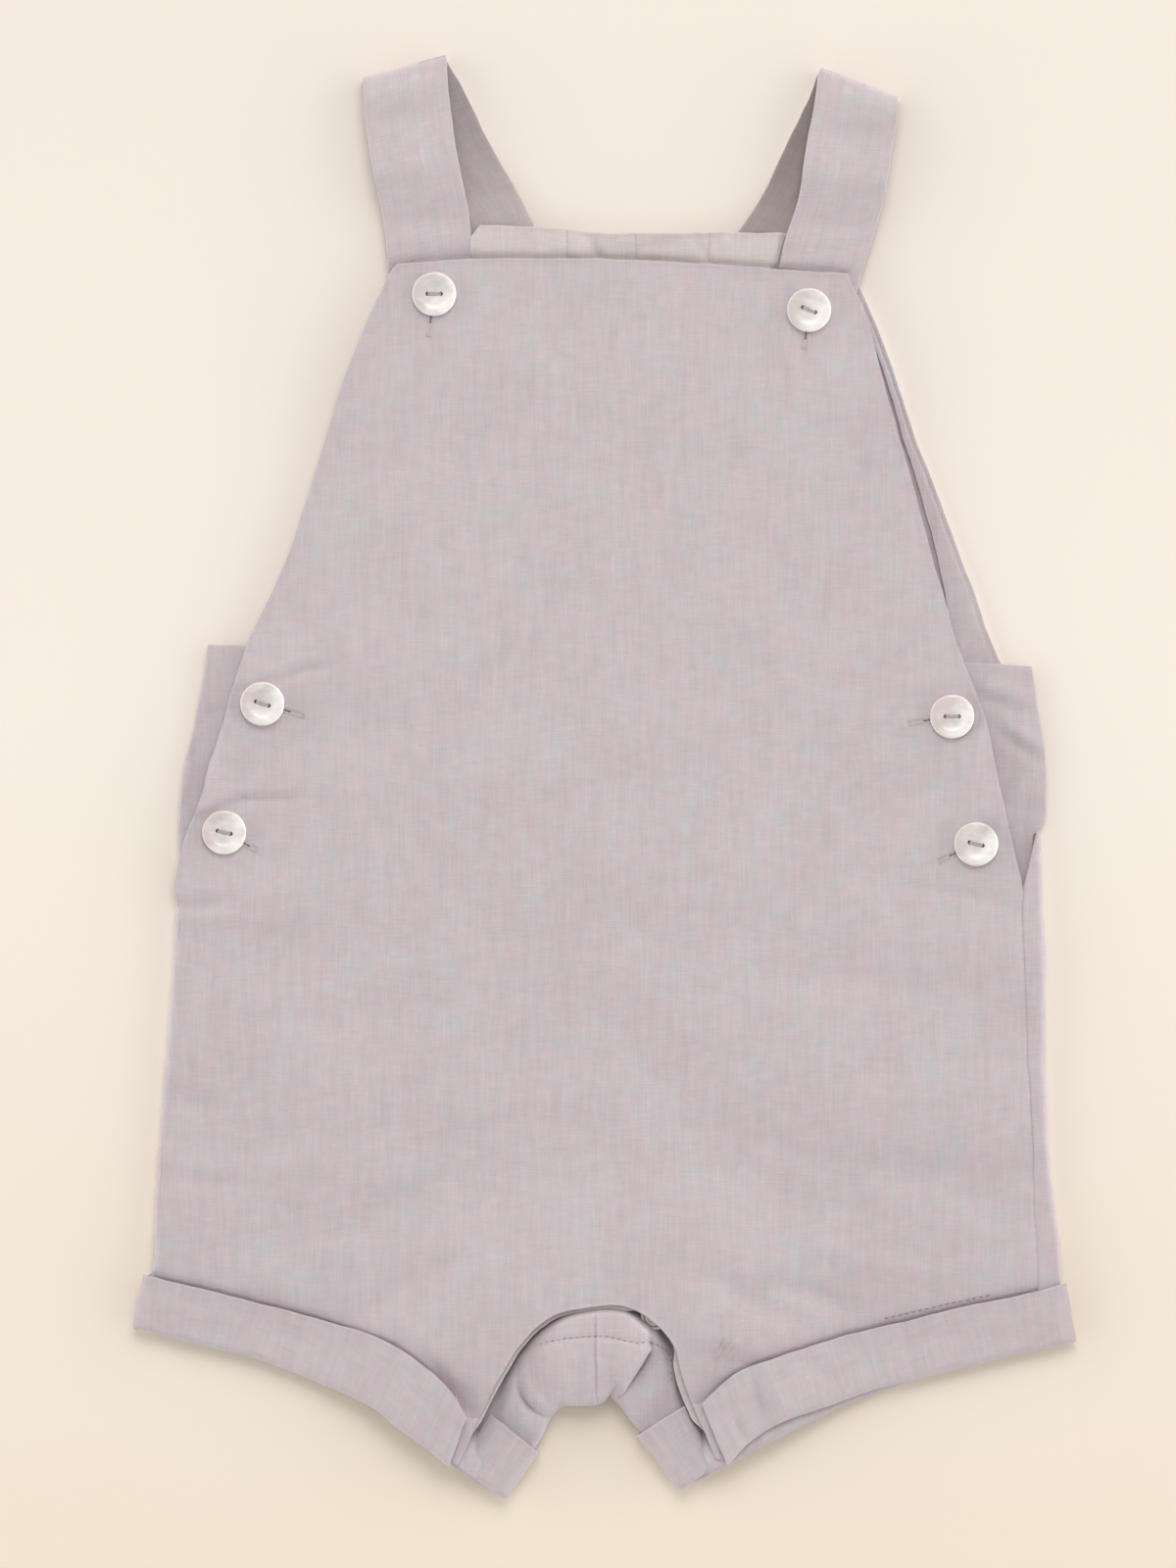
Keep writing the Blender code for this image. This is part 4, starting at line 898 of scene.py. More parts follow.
def back_band(leg, rows, outer):
    """The back leg's hem band: lying, round the inner leg, and turned up onto the front."""
    strip = []
    for v in rows:
        turn = band_turn(leg, v)
        lying = with_height(turn_up_line(leg, v, outer), SECOND_PLY)
        clear = soft_ramp(np.linalg.norm(lying[:, :2] - turn[0, :2], axis=1), 1, 9)
        rise = BAND_RISE + np.maximum(front_level(lying) - FRONT_LEVEL, 0.0)
        lying[:, 2] += rise * clear * soft_ramp(v, *BAND_RISE_UP_TO)
        strip.append(np.vstack([lying, turn[1:]]))
    return np.stack(strip)


def is_wrapped(leg, y):
    """Whether the back wraps round the side at this height."""
    return y <= (LEFT_WRAP_TOP if leg == "left" else RIGHT_WRAP_TOP) + 0.01


def lying_edge(leg, y):
    """The lying back panel's outer edge: set in by the wrap's radius where it wraps round."""
    out = -1.0 if leg == "left" else 1.0
    top = LEFT_WRAP_TOP if leg == "left" else RIGHT_WRAP_TOP
    radius = (FRONT_LEVEL - FLOOR_PLY) / 2
    return edge_at("back_" + leg, y) - out * radius * soft_ramp(y, top + 4, top)


def side_wrap(leg, start):
    """The back wrapped round the side edge, from the lying panel's edge to the front's seam."""
    rows = []
    for x, y, z in start:
        out, spread, tilt, seam_y = -1.0, 0.0, 0.0, y
        if leg == "right":
            out = 1.0
            spread = RIGHT_WRAP_SPREAD * max(0.0, y - RIGHT_SEAM_TOP)
            tilt = RIGHT_WRAP_TILT * float(soft_ramp(y, *RIGHT_TILT_FROM))
            seam_y = min(y, RIGHT_SEAM_TOP)
        seam = float(edge_at("front_" + leg, seam_y))
        free_edge = seam + out * 2 * SEAM + spread
        radius = (float(front_surface(np.array([[seam, y]]))[0]) - z) / 2
        last_angle = math.acos(min(max((free_edge - x) * out / radius, 0.0), 1.0))
        points = [(x + out * radius * math.cos(a), y, z + radius * (1 + math.sin(a)))
                  for a in np.linspace(-math.pi / 2, last_angle, len(HALF_TURN))]
        last = points[-1]
        points += [(last[0] + (free_edge - last[0]) * t, y - tilt * abs(x - free_edge) * t,
                    last[2] - SEAM_GROOVE * t ** WRAP_GROOVE_NARROW) for t in WRAP_LAST]
        rows.append(points)
    return np.array(rows)


def finer_turns(rows, steps):
    """More sections of the turned-up back, on smooth curves through the given ones."""
    fractions = np.linspace(0, 1, steps * (len(rows) - 1) + 1)
    return [Turn(*values) for values in through([tuple(row) for row in rows], fractions)]


def turned_rows(leg):
    """The turned-up back, section by section from the centre seam to the cuff line."""
    if leg == "left":
        groups = [finer_turns(TURN_LEFT, TURN_STEPS)]
    else:
        groups = [finer_turns(part, TURN_STEPS)
                  for part in (TURN_RIGHT[:PLEAT_AFTER + 1], TURN_RIGHT[PLEAT_AFTER + 1:])]
    made = []
    for group in groups:
        beyond = soft_ramp(np.arange(len(group)), PLEAT_SPREAD, 0) * len(made)
        rows = []
        for row, hollow in zip(group, beyond):
            start = turned(row, 0.0)[0][:2]
            rows.append(turned(row, float(back_level(start)), hollow))
        made.append(rows)
    made[-1][-1] = band_turn(leg, 1.0)
    if leg == "left":
        return np.stack(made[0])
    for k, row in enumerate(made[1][:PLEAT_SPREAD]):
        flat = soft_ramp(row[:, 1], *PLEAT_CLOSES) * (1 - k / PLEAT_SPREAD)
        row[:, 2] += (made[0][-1][:, 2] - row[:, 2]) * flat
    return np.stack(made[0] + pleat_rows(made[0][-1], made[1][0]) + made[1])


def pleat_rows(upper, lower):
    """Rows that carry the cloth over the pleat's crest and back under it."""
    across = lower[:, :2] - upper[:, :2]
    across /= np.linalg.norm(across, axis=1)[:, None]
    lap = PLEAT_LAP * np.clip((upper[:, 2] - lower[:, 2]) / PLEAT_FULL_LAP, 0, 1)[:, None]
    middle = (upper[:, :2] + lower[:, :2]) / 2
    rows = []
    for place, down, drop in PLEAT_ROWS:
        z = upper[:, 2] * (1 - down) + lower[:, 2] * down - drop
        rows.append(np.column_stack([middle + across * lap * place, z]))
    return rows


def turned_surface(leg):
    """The turned-up back with its creases and the furrows of its seams and its pleat."""
    turns = turned_rows(leg)
    furrows = sum(furrow(turns, *how) for how in BACK_FURROWS)
    on_top = turns[..., 2] > RETURN_LEVEL
    turns[..., 2] += (crease_rise(turns, TURNED_BACK_CREASES) - furrows) * on_top
    return turns


def back_grids(leg):
    """Half of the back in four grids: the lying panel, the part turned up between the legs,
    the wrap round the side and the leg's hem band."""
    turns = turned_surface(leg)
    line = turn_up_line(leg, 1.0)
    bottom = np.vstack([with_height(line, SECOND_PLY), turns[-2::-1, 0]])
    edges = [partial(lying_edge, leg), partial(centre_edge, leg)]
    across = np.linspace(0, 1, len(bottom))
    top = cornered(BACK_TOP_LEFT, across)
    if leg == "right":
        bottom, edges = bottom[::-1], edges[::-1]
        top = cornered(BACK_TOP_RIGHT, across)
    flat = body(bottom, top, *edges, BACK_ROW_STEP, across)
    grid = with_height(flat, back_level)
    to_hem, to_top, to_side = BACK_CREASES_FADE
    middle = soft_ramp(flat[..., 1], *to_hem) * soft_ramp(flat[..., 1], *to_top)
    middle = middle * soft_ramp(np.abs(flat[..., 0]), *to_side)
    grid[..., 2] += crease_rise(flat, BACK_CREASES) * middle
    grid[0] = bottom
    outer_edge = grid[:, 0] if leg == "left" else grid[:, -1]
    tucked = outer_edge[0] - np.array([0.0, WRAP_TUCK[leg], 0.0])
    wrap = side_wrap(leg, [tucked] + [p for p in outer_edge if is_wrapped(leg, p[1])])
    band = back_band(leg, BACK_BAND_ROWS, BACK_BAND_REACH)
    return [grid, turns, wrap, band]


def back_cuff_grid(leg):
    """The turn-up of the back leg: under the lying band, and over the turned-up one."""
    band = back_band(leg, CUFF_ROWS, outer=1.0)[:, :-CUFF_TUCK_COLUMNS]
    out = rolled_out(band)
    grid = moved_out(band, -out if leg == "left" else out)
    on_top = grid[..., 2] > RETURN_LEVEL
    creases = crumple(grid, *CRUMPLES["back turn-up"]) + crease_rise(grid, TURNED_BACK_CREASES)
    grid[..., 2] += (creases - furrow(grid, inner_edge(), *EDGE_FURROW)) * on_top
    grid[..., 2] = np.maximum(grid[..., 2], LINEN / 2 + 0.02)
    return grid


def back_placket_grid():
    """A strip under the turned-up back's end, across both halves."""
    strips = []
    for turns in (TURN_LEFT, TURN_RIGHT):
        rows = [turned(row, FLOOR_PLY) for row in finer_turns(turns[:-3], PLACKET_STEPS)]
        strips.append(np.stack([row[-5:] for row in rows]))
    strip = np.concatenate([strips[0][:0:-1], strips[1]])
    strip[..., 2] = RETURN_LEVEL - PLY
    return strip


# Facings, underlaps and straps -------------------------------------------------------------

def neck_facing_grid():
    """The back's neck facing, lying over the straps' lower runs at both ends."""
    across = fine_ends(180)
    grid = between(cornered(NECK_FACING_FOOT, across), cornered(NECK_FACING_TOP, across),
                   fine_ends(24))
    free = np.vstack([NECK_FACING_FOOT[0], NECK_FACING_TOP, NECK_FACING_FOOT[1]])
    depth, wide = FACING_SEAM_FURROW
    ridge, ridge_wide, ridge_from = FACING_SEAM_RIDGE

    def level(xy):
        climbs = [soft_ramp(xy[..., 0], *ends) for ends in FACING_ON_STRAPS]
        z = SECOND_PLY + PLY * np.maximum(*climbs) + crumple(xy, *CRUMPLES["neck facing"])
        z = z + crease_rise(xy, NECK_FACING_CREASES)
        leaning = xy[..., 0] - FACING_DIVE_LEAN * (xy[..., 1] - FACING_DIVE_HEIGHT)
        z = z - PLY * soft_ramp(leaning, *FACING_DIVES)
        for place, strength in FACING_SEAMS:
            z = z - depth * strength * bell(xy[..., 0] - place, wide)
            z = z + ridge * strength * bell(xy[..., 0] - place - ridge_from, ridge_wide)
        return z + rim(distance_to(free, xy)) - bib_furrow(xy)

    return with_height(grid, level)


def armhole_facing_grid(leg):
    """The narrow strip inside the back's armhole edge, with its sewn line."""
    y = np.linspace(ARMHOLE_FACING_FOOT[leg], ARMHOLE_FACING_TOP, 110)
    outer = edge_at("back_" + leg, y)
    inwards = 1.0 if leg == "left" else -1.0
    width, height = through(ARMHOLE_FACING_WIDTHS, np.linspace(0, 1, 80)).T
    inner = outer + inwards * np.interp(y, height, width)
    grid = with_height(straight_rows(y, outer, inner, fine_ends(16)), ARMHOLE_FACING_LEVEL)
    grid[..., 2] -= ARMHOLE_FOOT_DIP * soft_ramp(y, *ARMHOLE_FOOT_FROM)[:, None]
    depth, wide, inset = ARMHOLE_FACING_GROOVE
    groove = depth * bell(np.abs(grid[..., 0] - outer[:, None]) - inset, wide)
    grid[..., 2] += crumple(grid, *CRUMPLES["armhole facing"]) - groove
    return grid


def underlap_grid(rows):
    """A side's button stand, which looks out beside the front."""
    outer = evenly([(row.outer_x, row.outer_y) for row in rows], 50)
    inner = evenly([(row.inner_x, row.inner_y) for row in rows], 50)
    grid = between(outer, inner, np.linspace(0, 1, 25)).transpose(1, 0, 2)

    def level(xy):
        shown = soft_ramp(np.abs(xy[..., 0]), *UNDERLAP_SHOWN)
        fine = crease_rise(xy, UNDERLAP_CREASES) + crumple(xy, *CRUMPLES["underlap"])
        return SECOND_PLY + fine * shown

    return with_height(grid, level)


def strap_grid(side, front, fold, back):
    """A band running up the front, round the fold and down the back."""
    def edges(row):
        return np.array([(row[0], row[1], row[4]), (row[2], row[3], row[4])])

    outer, inner = edges(fold)
    along = (inner - outer)[:2] / np.linalg.norm((inner - outer)[:2])
    up = np.array([-along[1], along[0]]) * (1 if along[0] > 0 else -1)
    rounds = []
    for a in -HALF_TURN:
        reach = STRAP_FOLD_RADIUS * (math.cos(a) - 1)
        z = FLOOR_PLY + STRAP_FOLD_RADIUS * (1 + math.sin(a))
        rounds.append([(*(outer[:2] + up * reach), z), (*(inner[:2] + up * reach), z)])
    rounds = np.array(rounds)
    first = Station(*rounds[0, 0, :2], *rounds[0, 1, :2], rounds[0, 0, 2])
    last = Station(*rounds[-1, 0, :2], *rounds[-1, 1, :2], rounds[-1, 0, 2])
    upper = [edges(row) for row in evenly([tuple(row) for row in front + [first]], 60)]
    lower = [edges(row) for row in evenly([tuple(row) for row in [last] + back], 40)]
    rows = np.concatenate([upper, rounds[1:-1], lower])
    across = np.linspace(0, 1, 17)[None, :, None]
    grid = rows[:, :1] + (rows[:, 1:] - rows[:, :1]) * across
    top = grid[..., 2] > FLOOR_PLY + STRAP_FOLD_RADIUS
    arched = soft_ramp(grid[..., 1], *STRAP_PUFF_FROM) * soft_ramp(grid[..., 1], *STRAP_PUFF_TO)
    grid[..., 2] += STRAP_PUFF * arched * soft_ramp(grid[..., 2], *STRAP_PUFF_OVER)
    dip = STRAP_DIP * soft_ramp(grid[..., 1], *STRAP_DIP_FROM)
    grid[..., 2] -= (dip + bib_furrow(grid)) * top
    shown = soft_ramp(grid[..., 1], *STRAP_SHOWN_FROM) * top
    creases = crease_rise(grid, STRAP_CREASES[side]) + crumple(grid, *CRUMPLES["strap"])
    grid[..., 2] += shown * creases
    return grid


def strap_weave(grid):
    """The weave runs along the strap, round its fold."""
    run = np.linalg.norm(np.diff(grid[:, 8], axis=0), axis=-1)
    up = np.concatenate([[0.0], np.cumsum(run)])
    wide = np.linalg.norm(grid[:, -1] - grid[:, 0], axis=-1)
    across = np.linspace(-0.5, 0.5, grid.shape[1])
    return np.stack([across[None] * wide[:, None], up[:, None].repeat(grid.shape[1], 1)], axis=-1)


# Materials ---------------------------------------------------------------------------------

class Nodes:
    """A material's node tree, with short calls for the nodes that the finishes share."""

    def __init__(self, name):
        self.made = bpy.data.materials.new(name)
        self.made.use_nodes = True
        self.tree = self.made.node_tree
        self.shader = self.tree.nodes["Principled BSDF"]

    def node(self, kind, **settings):
        made = self.tree.nodes.new(kind)
        for key, value in settings.items():
            setattr(made, key, value)
        return made

    def put(self, value, socket):
        if isinstance(value, bpy.types.NodeSocket):
            self.tree.links.new(value, socket)
        else:
            socket.default_value = value

    def maths(self, operation, a, b=0.0):
        made = self.node("ShaderNodeMath", operation=operation)
        self.put(a, made.inputs[0])
        self.put(b, made.inputs[1])
        return made.outputs[0]

    def weighted(self, *shares):
        """The sum of the values, each times its share."""
        total = 0.0
        for value, share in shares:
            total = self.maths("ADD", self.maths("MULTIPLY", value, share), total)
        return total

    def stretched(self, place, scale, detail=2.0, roughness=0.5):
        """Noise stretched along one or the other thread; scale is per metre in each direction."""
        mapping = self.node("ShaderNodeMapping")
        self.put(place, mapping.inputs["Vector"])
        mapping.inputs["Scale"].default_value = scale
        made = self.node("ShaderNodeTexNoise")
        self.put(mapping.outputs[0], made.inputs["Vector"])
        made.inputs["Scale"].default_value = 1.0
        made.inputs["Detail"].default_value = detail
        made.inputs["Roughness"].default_value = roughness
        return made.outputs["Fac"]

    def ramp(self, value, low, high):
        made = self.node("ShaderNodeMapRange")
        self.put(value, made.inputs["Value"])
        made.inputs["From Min"].default_value = low
        made.inputs["From Max"].default_value = high
        return made.outputs[0]

    def place(self):
        """The place on the object, in metres."""
        return self.node("ShaderNodeTexCoord").outputs["Object"]

    def split(self, vector):
        """The vector's three parts."""
        made = self.node("ShaderNodeSeparateXYZ")
        self.put(vector, made.inputs[0])
        return made.outputs

    def finish(self, **settings):
        """Sets the shader's inputs: an underscore stands for a space in their names."""
        for name, value in settings.items():
            self.put(value, self.shader.inputs[name.replace("_", " ")])
        return self.made

    def mixed_colour(self, factor, a, b, blend="MIX"):
        made = self.node("ShaderNodeMix", data_type="RGBA", blend_type=blend)
        self.put(factor, made.inputs[0])
        self.put(a, made.inputs[6])
        self.put(b, made.inputs[7])
        return made.outputs[2]


def srgb(red, green, blue):
    """A colour given as it looks on a screen, from 0 to 255."""
    values = [c / 255 for c in (red, green, blue)]
    return (*[c / 12.92 if c <= 0.04045 else ((c + 0.055) / 1.055) ** 2.4 for c in values], 1.0)


# Noise on the linen: its scale per metre across and up the cloth, its detail and roughness.
LINEN_NOISE = {
    "warp": ((2200, 95, 1), 2.0, 0.6),
    "weft": ((150, 2000, 1), 2.0, 0.6),
    "wide warp": ((480, 40, 1), 2.0, 0.5),
    "patches": ((230, 200, 1), 2.0, 0.6),
    "broad": ((60, 48, 1), 2.0, 0.5),
    "slubs": ((300, 2600, 1), 1.0, 0.4),
    "mottle": ((170, 270, 1), 2.0, 0.6),
    "clouds": ((34, 42, 1), 2.0, 0.5),
}
# Which noise moves the hue from pink to grey, between which of its values, and by how much.
HUE_SHARES = (("patches", 0.34, 0.66, 0.56), ("broad", 0.34, 0.66, 0.39),
              ("wide warp", 0.35, 0.65, 0.05))
# What adds to the brightness over its darkest, and by how much.
SHADE_DARKEST = 0.819
SHADE_SHARES = (("warp", 0.095), ("wide warp", 0.060), ("weft", 0.075), ("mottle", 0.062),
                ("broad", 0.030), ("clouds", 0.055))
SLUB_SHARE = 0.06
# how much a painted highlight brightens the cloth's sharp folded edges
EDGE_HIGHLIGHT_SHARE = 0.04
NOISE_ENDS = (0.3, 0.7)  # nearly all of a noise's values lie between these
SLUB_ENDS = (0.64, 0.72)
# the pointiness between which that painted edge highlight fades in
EDGE_HIGHLIGHT_ENDS = (0.54, 0.62)
# how much painted shade darkens the cloth up towards a strap's fold
PAINTED_SHADE_BY = -0.24
RELIEF_THREADS = 0.16  # what the weave, then the streaks and slubs, add to the relief
RELIEF_STREAKS = 0.5
RELIEF_STRENGTH = 0.4
RELIEF_DEPTH = 0.00025
THREADS = 2100.0  # per metre
THREADS_WANDER = 260.0  # how finely they leave their straight course
THREADS_WANDER_BY = (0.0016, 0.0016, 0.0)


def linen_finish(name, pink, grey, painted_shade_from=None):
    """Plain-weave linen: fine warp streaks, soft patches of hue, a few slubs in the weft, a
    painted highlight on its sharp folded edges, and the relief of its threads. Its last argument
    gives the heights up the garment between which painted shade makes it darker, as under a
    strap's fold."""
    n = Nodes(name)
    cloth = n.node("ShaderNodeUVMap", uv_map="weave").outputs[0]
    noises = {kind: n.stretched(cloth, *how) for kind, how in LINEN_NOISE.items()}
    slubs = n.ramp(noises["slubs"], *SLUB_ENDS)
    # Painted highlight on sharp convex edges, where a folded edge would catch the light.
    edge = n.ramp(n.node("ShaderNodeNewGeometry").outputs["Pointiness"], *EDGE_HIGHLIGHT_ENDS)

    hue = n.weighted(*[(n.ramp(noises[kind], low, high), share)
                       for kind, low, high, share in HUE_SHARES])
    shade = n.weighted(*[(n.ramp(noises[kind], *NOISE_ENDS), share)
                         for kind, share in SHADE_SHARES],
                       (slubs, SLUB_SHARE), (edge, EDGE_HIGHLIGHT_SHARE))
    shade = n.maths("ADD", shade, SHADE_DARKEST)
    # Painted shade: darker up the garment between the given heights, as under a strap's fold.
    if painted_shade_from:
        low, high = (height * MM for height in painted_shade_from)
        up = n.split(n.place())[1]
        shade = n.weighted((shade, 1.0), (n.ramp(up, low, high), PAINTED_SHADE_BY))
    shaded = n.node("ShaderNodeVectorMath", operation="SCALE")
    n.put(n.mixed_colour(hue, pink, grey), shaded.inputs[0])
    n.put(shade, shaded.inputs["Scale"])

    bump = n.node("ShaderNodeBump")
    streaks = [(fac, RELIEF_STREAKS) for fac in (noises["warp"], noises["weft"], slubs)]
    n.put(n.weighted((thread_relief(n, cloth), RELIEF_THREADS), *streaks), bump.inputs["Height"])
    n.put(RELIEF_STRENGTH, bump.inputs["Strength"])
    n.put(RELIEF_DEPTH, bump.inputs["Distance"])
    return n.finish(Base_Color=shaded.outputs[0], Normal=bump.outputs[0], Roughness=0.88,
                    Specular_IOR_Level=0.25, Sheen_Weight=0.04, Sheen_Roughness=0.45)


def thread_relief(n, cloth):
    """Over and under: round threads of the two directions, swapped in a chequer."""
    wander = n.node("ShaderNodeTexNoise")
    n.put(cloth, wander.inputs["Vector"])
    n.put(THREADS_WANDER, wander.inputs["Scale"])
    moved = n.node("ShaderNodeVectorMath", operation="MULTIPLY_ADD")
    n.put(wander.outputs["Color"], moved.inputs[0])
    n.put(THREADS_WANDER_BY, moved.inputs[1])
    n.put(cloth, moved.inputs[2])
    u, v = [n.maths("MULTIPLY", part, THREADS) for part in n.split(moved.outputs[0])[:2]]
    over_u, over_v = [n.maths("SINE", n.maths("MULTIPLY", n.maths("FRACT", part), math.pi))
                      for part in (u, v)]
    steps = n.maths("ADD", n.maths("FLOOR", u), n.maths("FLOOR", v))
    chequer = n.maths("PINGPONG", steps, 1.0)
    difference = n.maths("SUBTRACT", over_v, over_u)
    return n.maths("ADD", over_u, n.maths("MULTIPLY", chequer, difference))


def thread_finish(name, colour):
    """Sewing thread with the shading of its twist."""
    n = Nodes(name)
    twist = n.stretched(n.place(), (5000, 5000, 5000), 1.0)
    darker = tuple(c * 0.8 for c in colour[:3]) + (1.0,)
    return n.finish(Base_Color=n.mixed_colour(n.ramp(twist, *NOISE_ENDS), colour, darker),
                    Roughness=0.8, Sheen_Weight=0.2)


def pearl_finish(name, middle, tint):
    """Mother-of-pearl: milky, with soft bands of its own, and a painted sheen that makes it
    lighter and silvery to one side and pinkish to the other.
    """
    n = Nodes(name)
    place = n.place()
    waves = n.stretched(place, (170 + 60 * tint, 330, 300), 3.0, 0.55)
    bands = n.stretched(place, (240, 130 + 90 * tint, 200), 2.0, 0.5)
    offset = n.node("ShaderNodeVectorMath", operation="SUBTRACT")
    n.put(place, offset.inputs[0])
    n.put((middle[0] * MM, middle[1] * MM, 0.0), offset.inputs[1])
    across = n.node("ShaderNodeVectorMath", operation="DOT_PRODUCT")
    n.put(offset.outputs[0], across.inputs[0])
    n.put(PEARL_SHEEN_TOWARDS, across.inputs[1])
    # Painted sheen: lighter and silvery towards one side, pinkish towards the other, over the
    # nacre's own waves and bands.
    side = n.maths("DIVIDE", across.outputs["Value"], BUTTON_RADIUS * MM)
    bright = n.ramp(n.weighted((side, 0.5), (waves, 1.5), (bands, 0.6)), 0.70, 1.50)
    sheen_and_nacre = n.mixed_colour(bright, srgb(212, 208, 207), srgb(254, 253, 252))
    pink = n.maths("MULTIPLY", n.ramp(n.weighted((side, -0.4), (bands, 1.6)), 0.6, 1.3),
                   0.25 + 0.4 * tint)
    return n.finish(Base_Color=n.mixed_colour(pink, sheen_and_nacre, srgb(232, 208, 208)),
                    Roughness=0.24, Specular_IOR_Level=0.6, Coat_Weight=0.4, Coat_Roughness=0.1,
                    Subsurface_Weight=0.12, Subsurface_Scale=0.001)


def metal_finish(name):
    """Worn nickel."""
    n = Nodes(name)
    worn = n.stretched(n.place(), (900, 900, 900), 4.0, 0.6)
    colour = n.mixed_colour(n.ramp(worn, *NOISE_ENDS), srgb(250, 249, 247), srgb(222, 220, 217))
    return n.finish(Base_Color=colour, Metallic=1.0, Roughness=n.ramp(worn, -0.6, 2.2))


# Meshes ------------------------------------------------------------------------------------

WELD = 0.004  # points nearer than this are one
FOLD_ANGLE = 62  # from this angle on a cloth's edge is rounded
FACES_UP = 0.2  # least upward part of the normal of a face that looks up


def grid_object(name, grids, weaves):
    """One open surface from grids of points that meet at shared edges."""
    points, faces, cloth = [], [], []
    start = 0
    for grid, weave in zip(grids, weaves):
        rows, columns = grid.shape[:2]
        index = start + np.arange(rows * columns).reshape(rows, columns)
        quads = np.stack([index[:-1, :-1], index[:-1, 1:], index[1:, 1:], index[1:, :-1]], axis=-1)
        quads = quads.reshape(-1, 4)
        points.append(grid.reshape(-1, 3))
        faces.append(quads)
        cloth.append(weave.reshape(-1, 2)[quads.ravel() - start])
        start += rows * columns
    mesh = bpy.data.meshes.new(name)
    mesh.from_pydata((np.concatenate(points) * MM).tolist(), [], np.concatenate(faces).tolist())
    layer = mesh.uv_layers.new(name="weave")
    layer.data.foreach_set("uv", (np.concatenate(cloth) * MM).ravel())
    welded = bmesh.new()
    welded.from_mesh(mesh)
    bmesh.ops.remove_doubles(welded, verts=welded.verts, dist=WELD * MM)
    bmesh.ops.recalc_face_normals(welded, faces=welded.faces)
    welded.to_mesh(mesh)
    welded.free()
    return in_scene(name, mesh)


def in_scene(name, data):
    """A new object with this data, in the scene."""
    made = bpy.data.objects.new(name, data)
    bpy.context.scene.collection.objects.link(made)
    return made


def only(piece):
    """Deselects everything else and makes the piece the active one."""
    for other in bpy.context.selected_objects:
        other.select_set(False)
    piece.select_set(True)
    bpy.context.view_layer.objects.active = piece


def apply_all(piece):
    """Puts the modifiers' work into the piece's mesh."""
    only(piece)
    for modifier in list(piece.modifiers):
        bpy.ops.object.modifier_apply(modifier=modifier.name)


def round_edges(piece, width, segments, angle):
    """Rounds the edges that are sharper than the angle."""
    rounded = piece.modifiers.new("edges", "BEVEL")
    rounded.width = width * MM
    rounded.segments = segments
    rounded.limit_method = "ANGLE"
    rounded.angle_limit = math.radians(angle)
    apply_all(piece)


def wavered(grid):
    """The slight waviness of laid cloth, the same for every layer so that edges still meet."""
    moved = grid.copy()
    (broad, broad_size), (fine, fine_size) = WAVE_SIZES
    for axis, seed in WAVES:
        moved[..., axis] += (crumple(grid, broad, broad_size, seed)
                             + crumple(grid, fine, fine_size, seed + 1))
    return moved


def cloth_piece(name, grids, finish, weave=flat_weave, edge_round=EDGE_ROUND):
    """A thin shell with rounded edges on the surface's form."""
    piece = grid_object(name, [wavered(grid) for grid in grids], [weave(grid) for grid in grids])
    wall = piece.modifiers.new("wall", "SOLIDIFY")
    wall.thickness = LINEN * MM
    wall.offset = 0.0
    wall.use_even_offset = False
    round_edges(piece, edge_round, 3, FOLD_ANGLE)
    piece.data.materials.append(finish)
    bpy.ops.object.shade_smooth()
    return piece


def paint_shade_under_strap(piece, finish):
    """Paints shade on the strap's inner face, which lies open beyond its fold: its upward faces
    low down get the darker finish, as painted shade of the strap's upper run over them.
    """
    piece.data.materials.append(finish)
    for face in piece.data.polygons:
        if face.normal.z > FACES_UP and face.center.z < STRAP_PAINTED_SHADE_BELOW * MM:
            face.material_index = 1


def settled(piece):
    """Puts the object's place into its mesh."""
    only(piece)
    bpy.ops.object.transform_apply(location=True, rotation=True, scale=True)
    return piece


def joined(name, parts):
    """The parts as one object of this name."""
    only(parts[0])
    for part in parts[1:]:
        part.select_set(True)
    if len(parts) > 1:
        bpy.ops.object.join()
    parts[0].name = name
    parts[0].data.name = name
    return parts[0]


# Sewing ------------------------------------------------------------------------------------

# A stitch's outline and crown: places along it (in its length), to the side (in half its width)
# and up (in its width).
STITCH_RING = [(-0.5, 0.0, -0.35), (-0.34, 0.7, 0.0), (0.0, 1.0, 0.0), (0.34, 0.7, 0.0),
               (0.5, 0.0, -0.35), (0.34, -0.7, 0.0), (0.0, -1.0, 0.0), (-0.34, -0.7, 0.0)]
STITCH_CROWN = [(-0.24, 0.0, 0.55), (0.24, 0.0, 0.55)]
CROWN_OF_RING = [0, 0, 0, 1, 1, 1, 1, 0]  # the crown's point over each of the ring's
STITCH_LOOK_AHEAD = 0.2  # how far along the path its direction is read
STITCH_LEAST_RUN = 1e-6

# Rows of stitches: pitch, then each stitch's length and width.
PLACKET_STITCHES = (1.7, 1.25, 0.36)
HEM_STITCH_SIZES = (1.9, 1.3, 0.40)
HEM_STITCH_LIFT = 0.10
HOLE_SIDE_STITCHES = (0.44, 1.2, 0.36)
HOLE_BAR_STITCHES = (0.4, 1.0, 0.40)
# the dark lenses along a buttonhole's slit, as painted shadow of the gap
SLIT_PAINTED_SHADOW = (1.2, 1.9, 0.42)
NEAR_SURFACE = 0.18  # how fast the surface's points count less for a stitch farther away
HOLE_STARTS = -1.5  # from the button's middle
HOLE_SIDE = 0.62
HOLE_SUNK = -0.04
HOLE_BAR_BEYOND = 0.25
HOLE_BAR_HALF = 1.0
SLIT_PAST_BUTTON = 1.6
SLIT_SUNK = -0.05


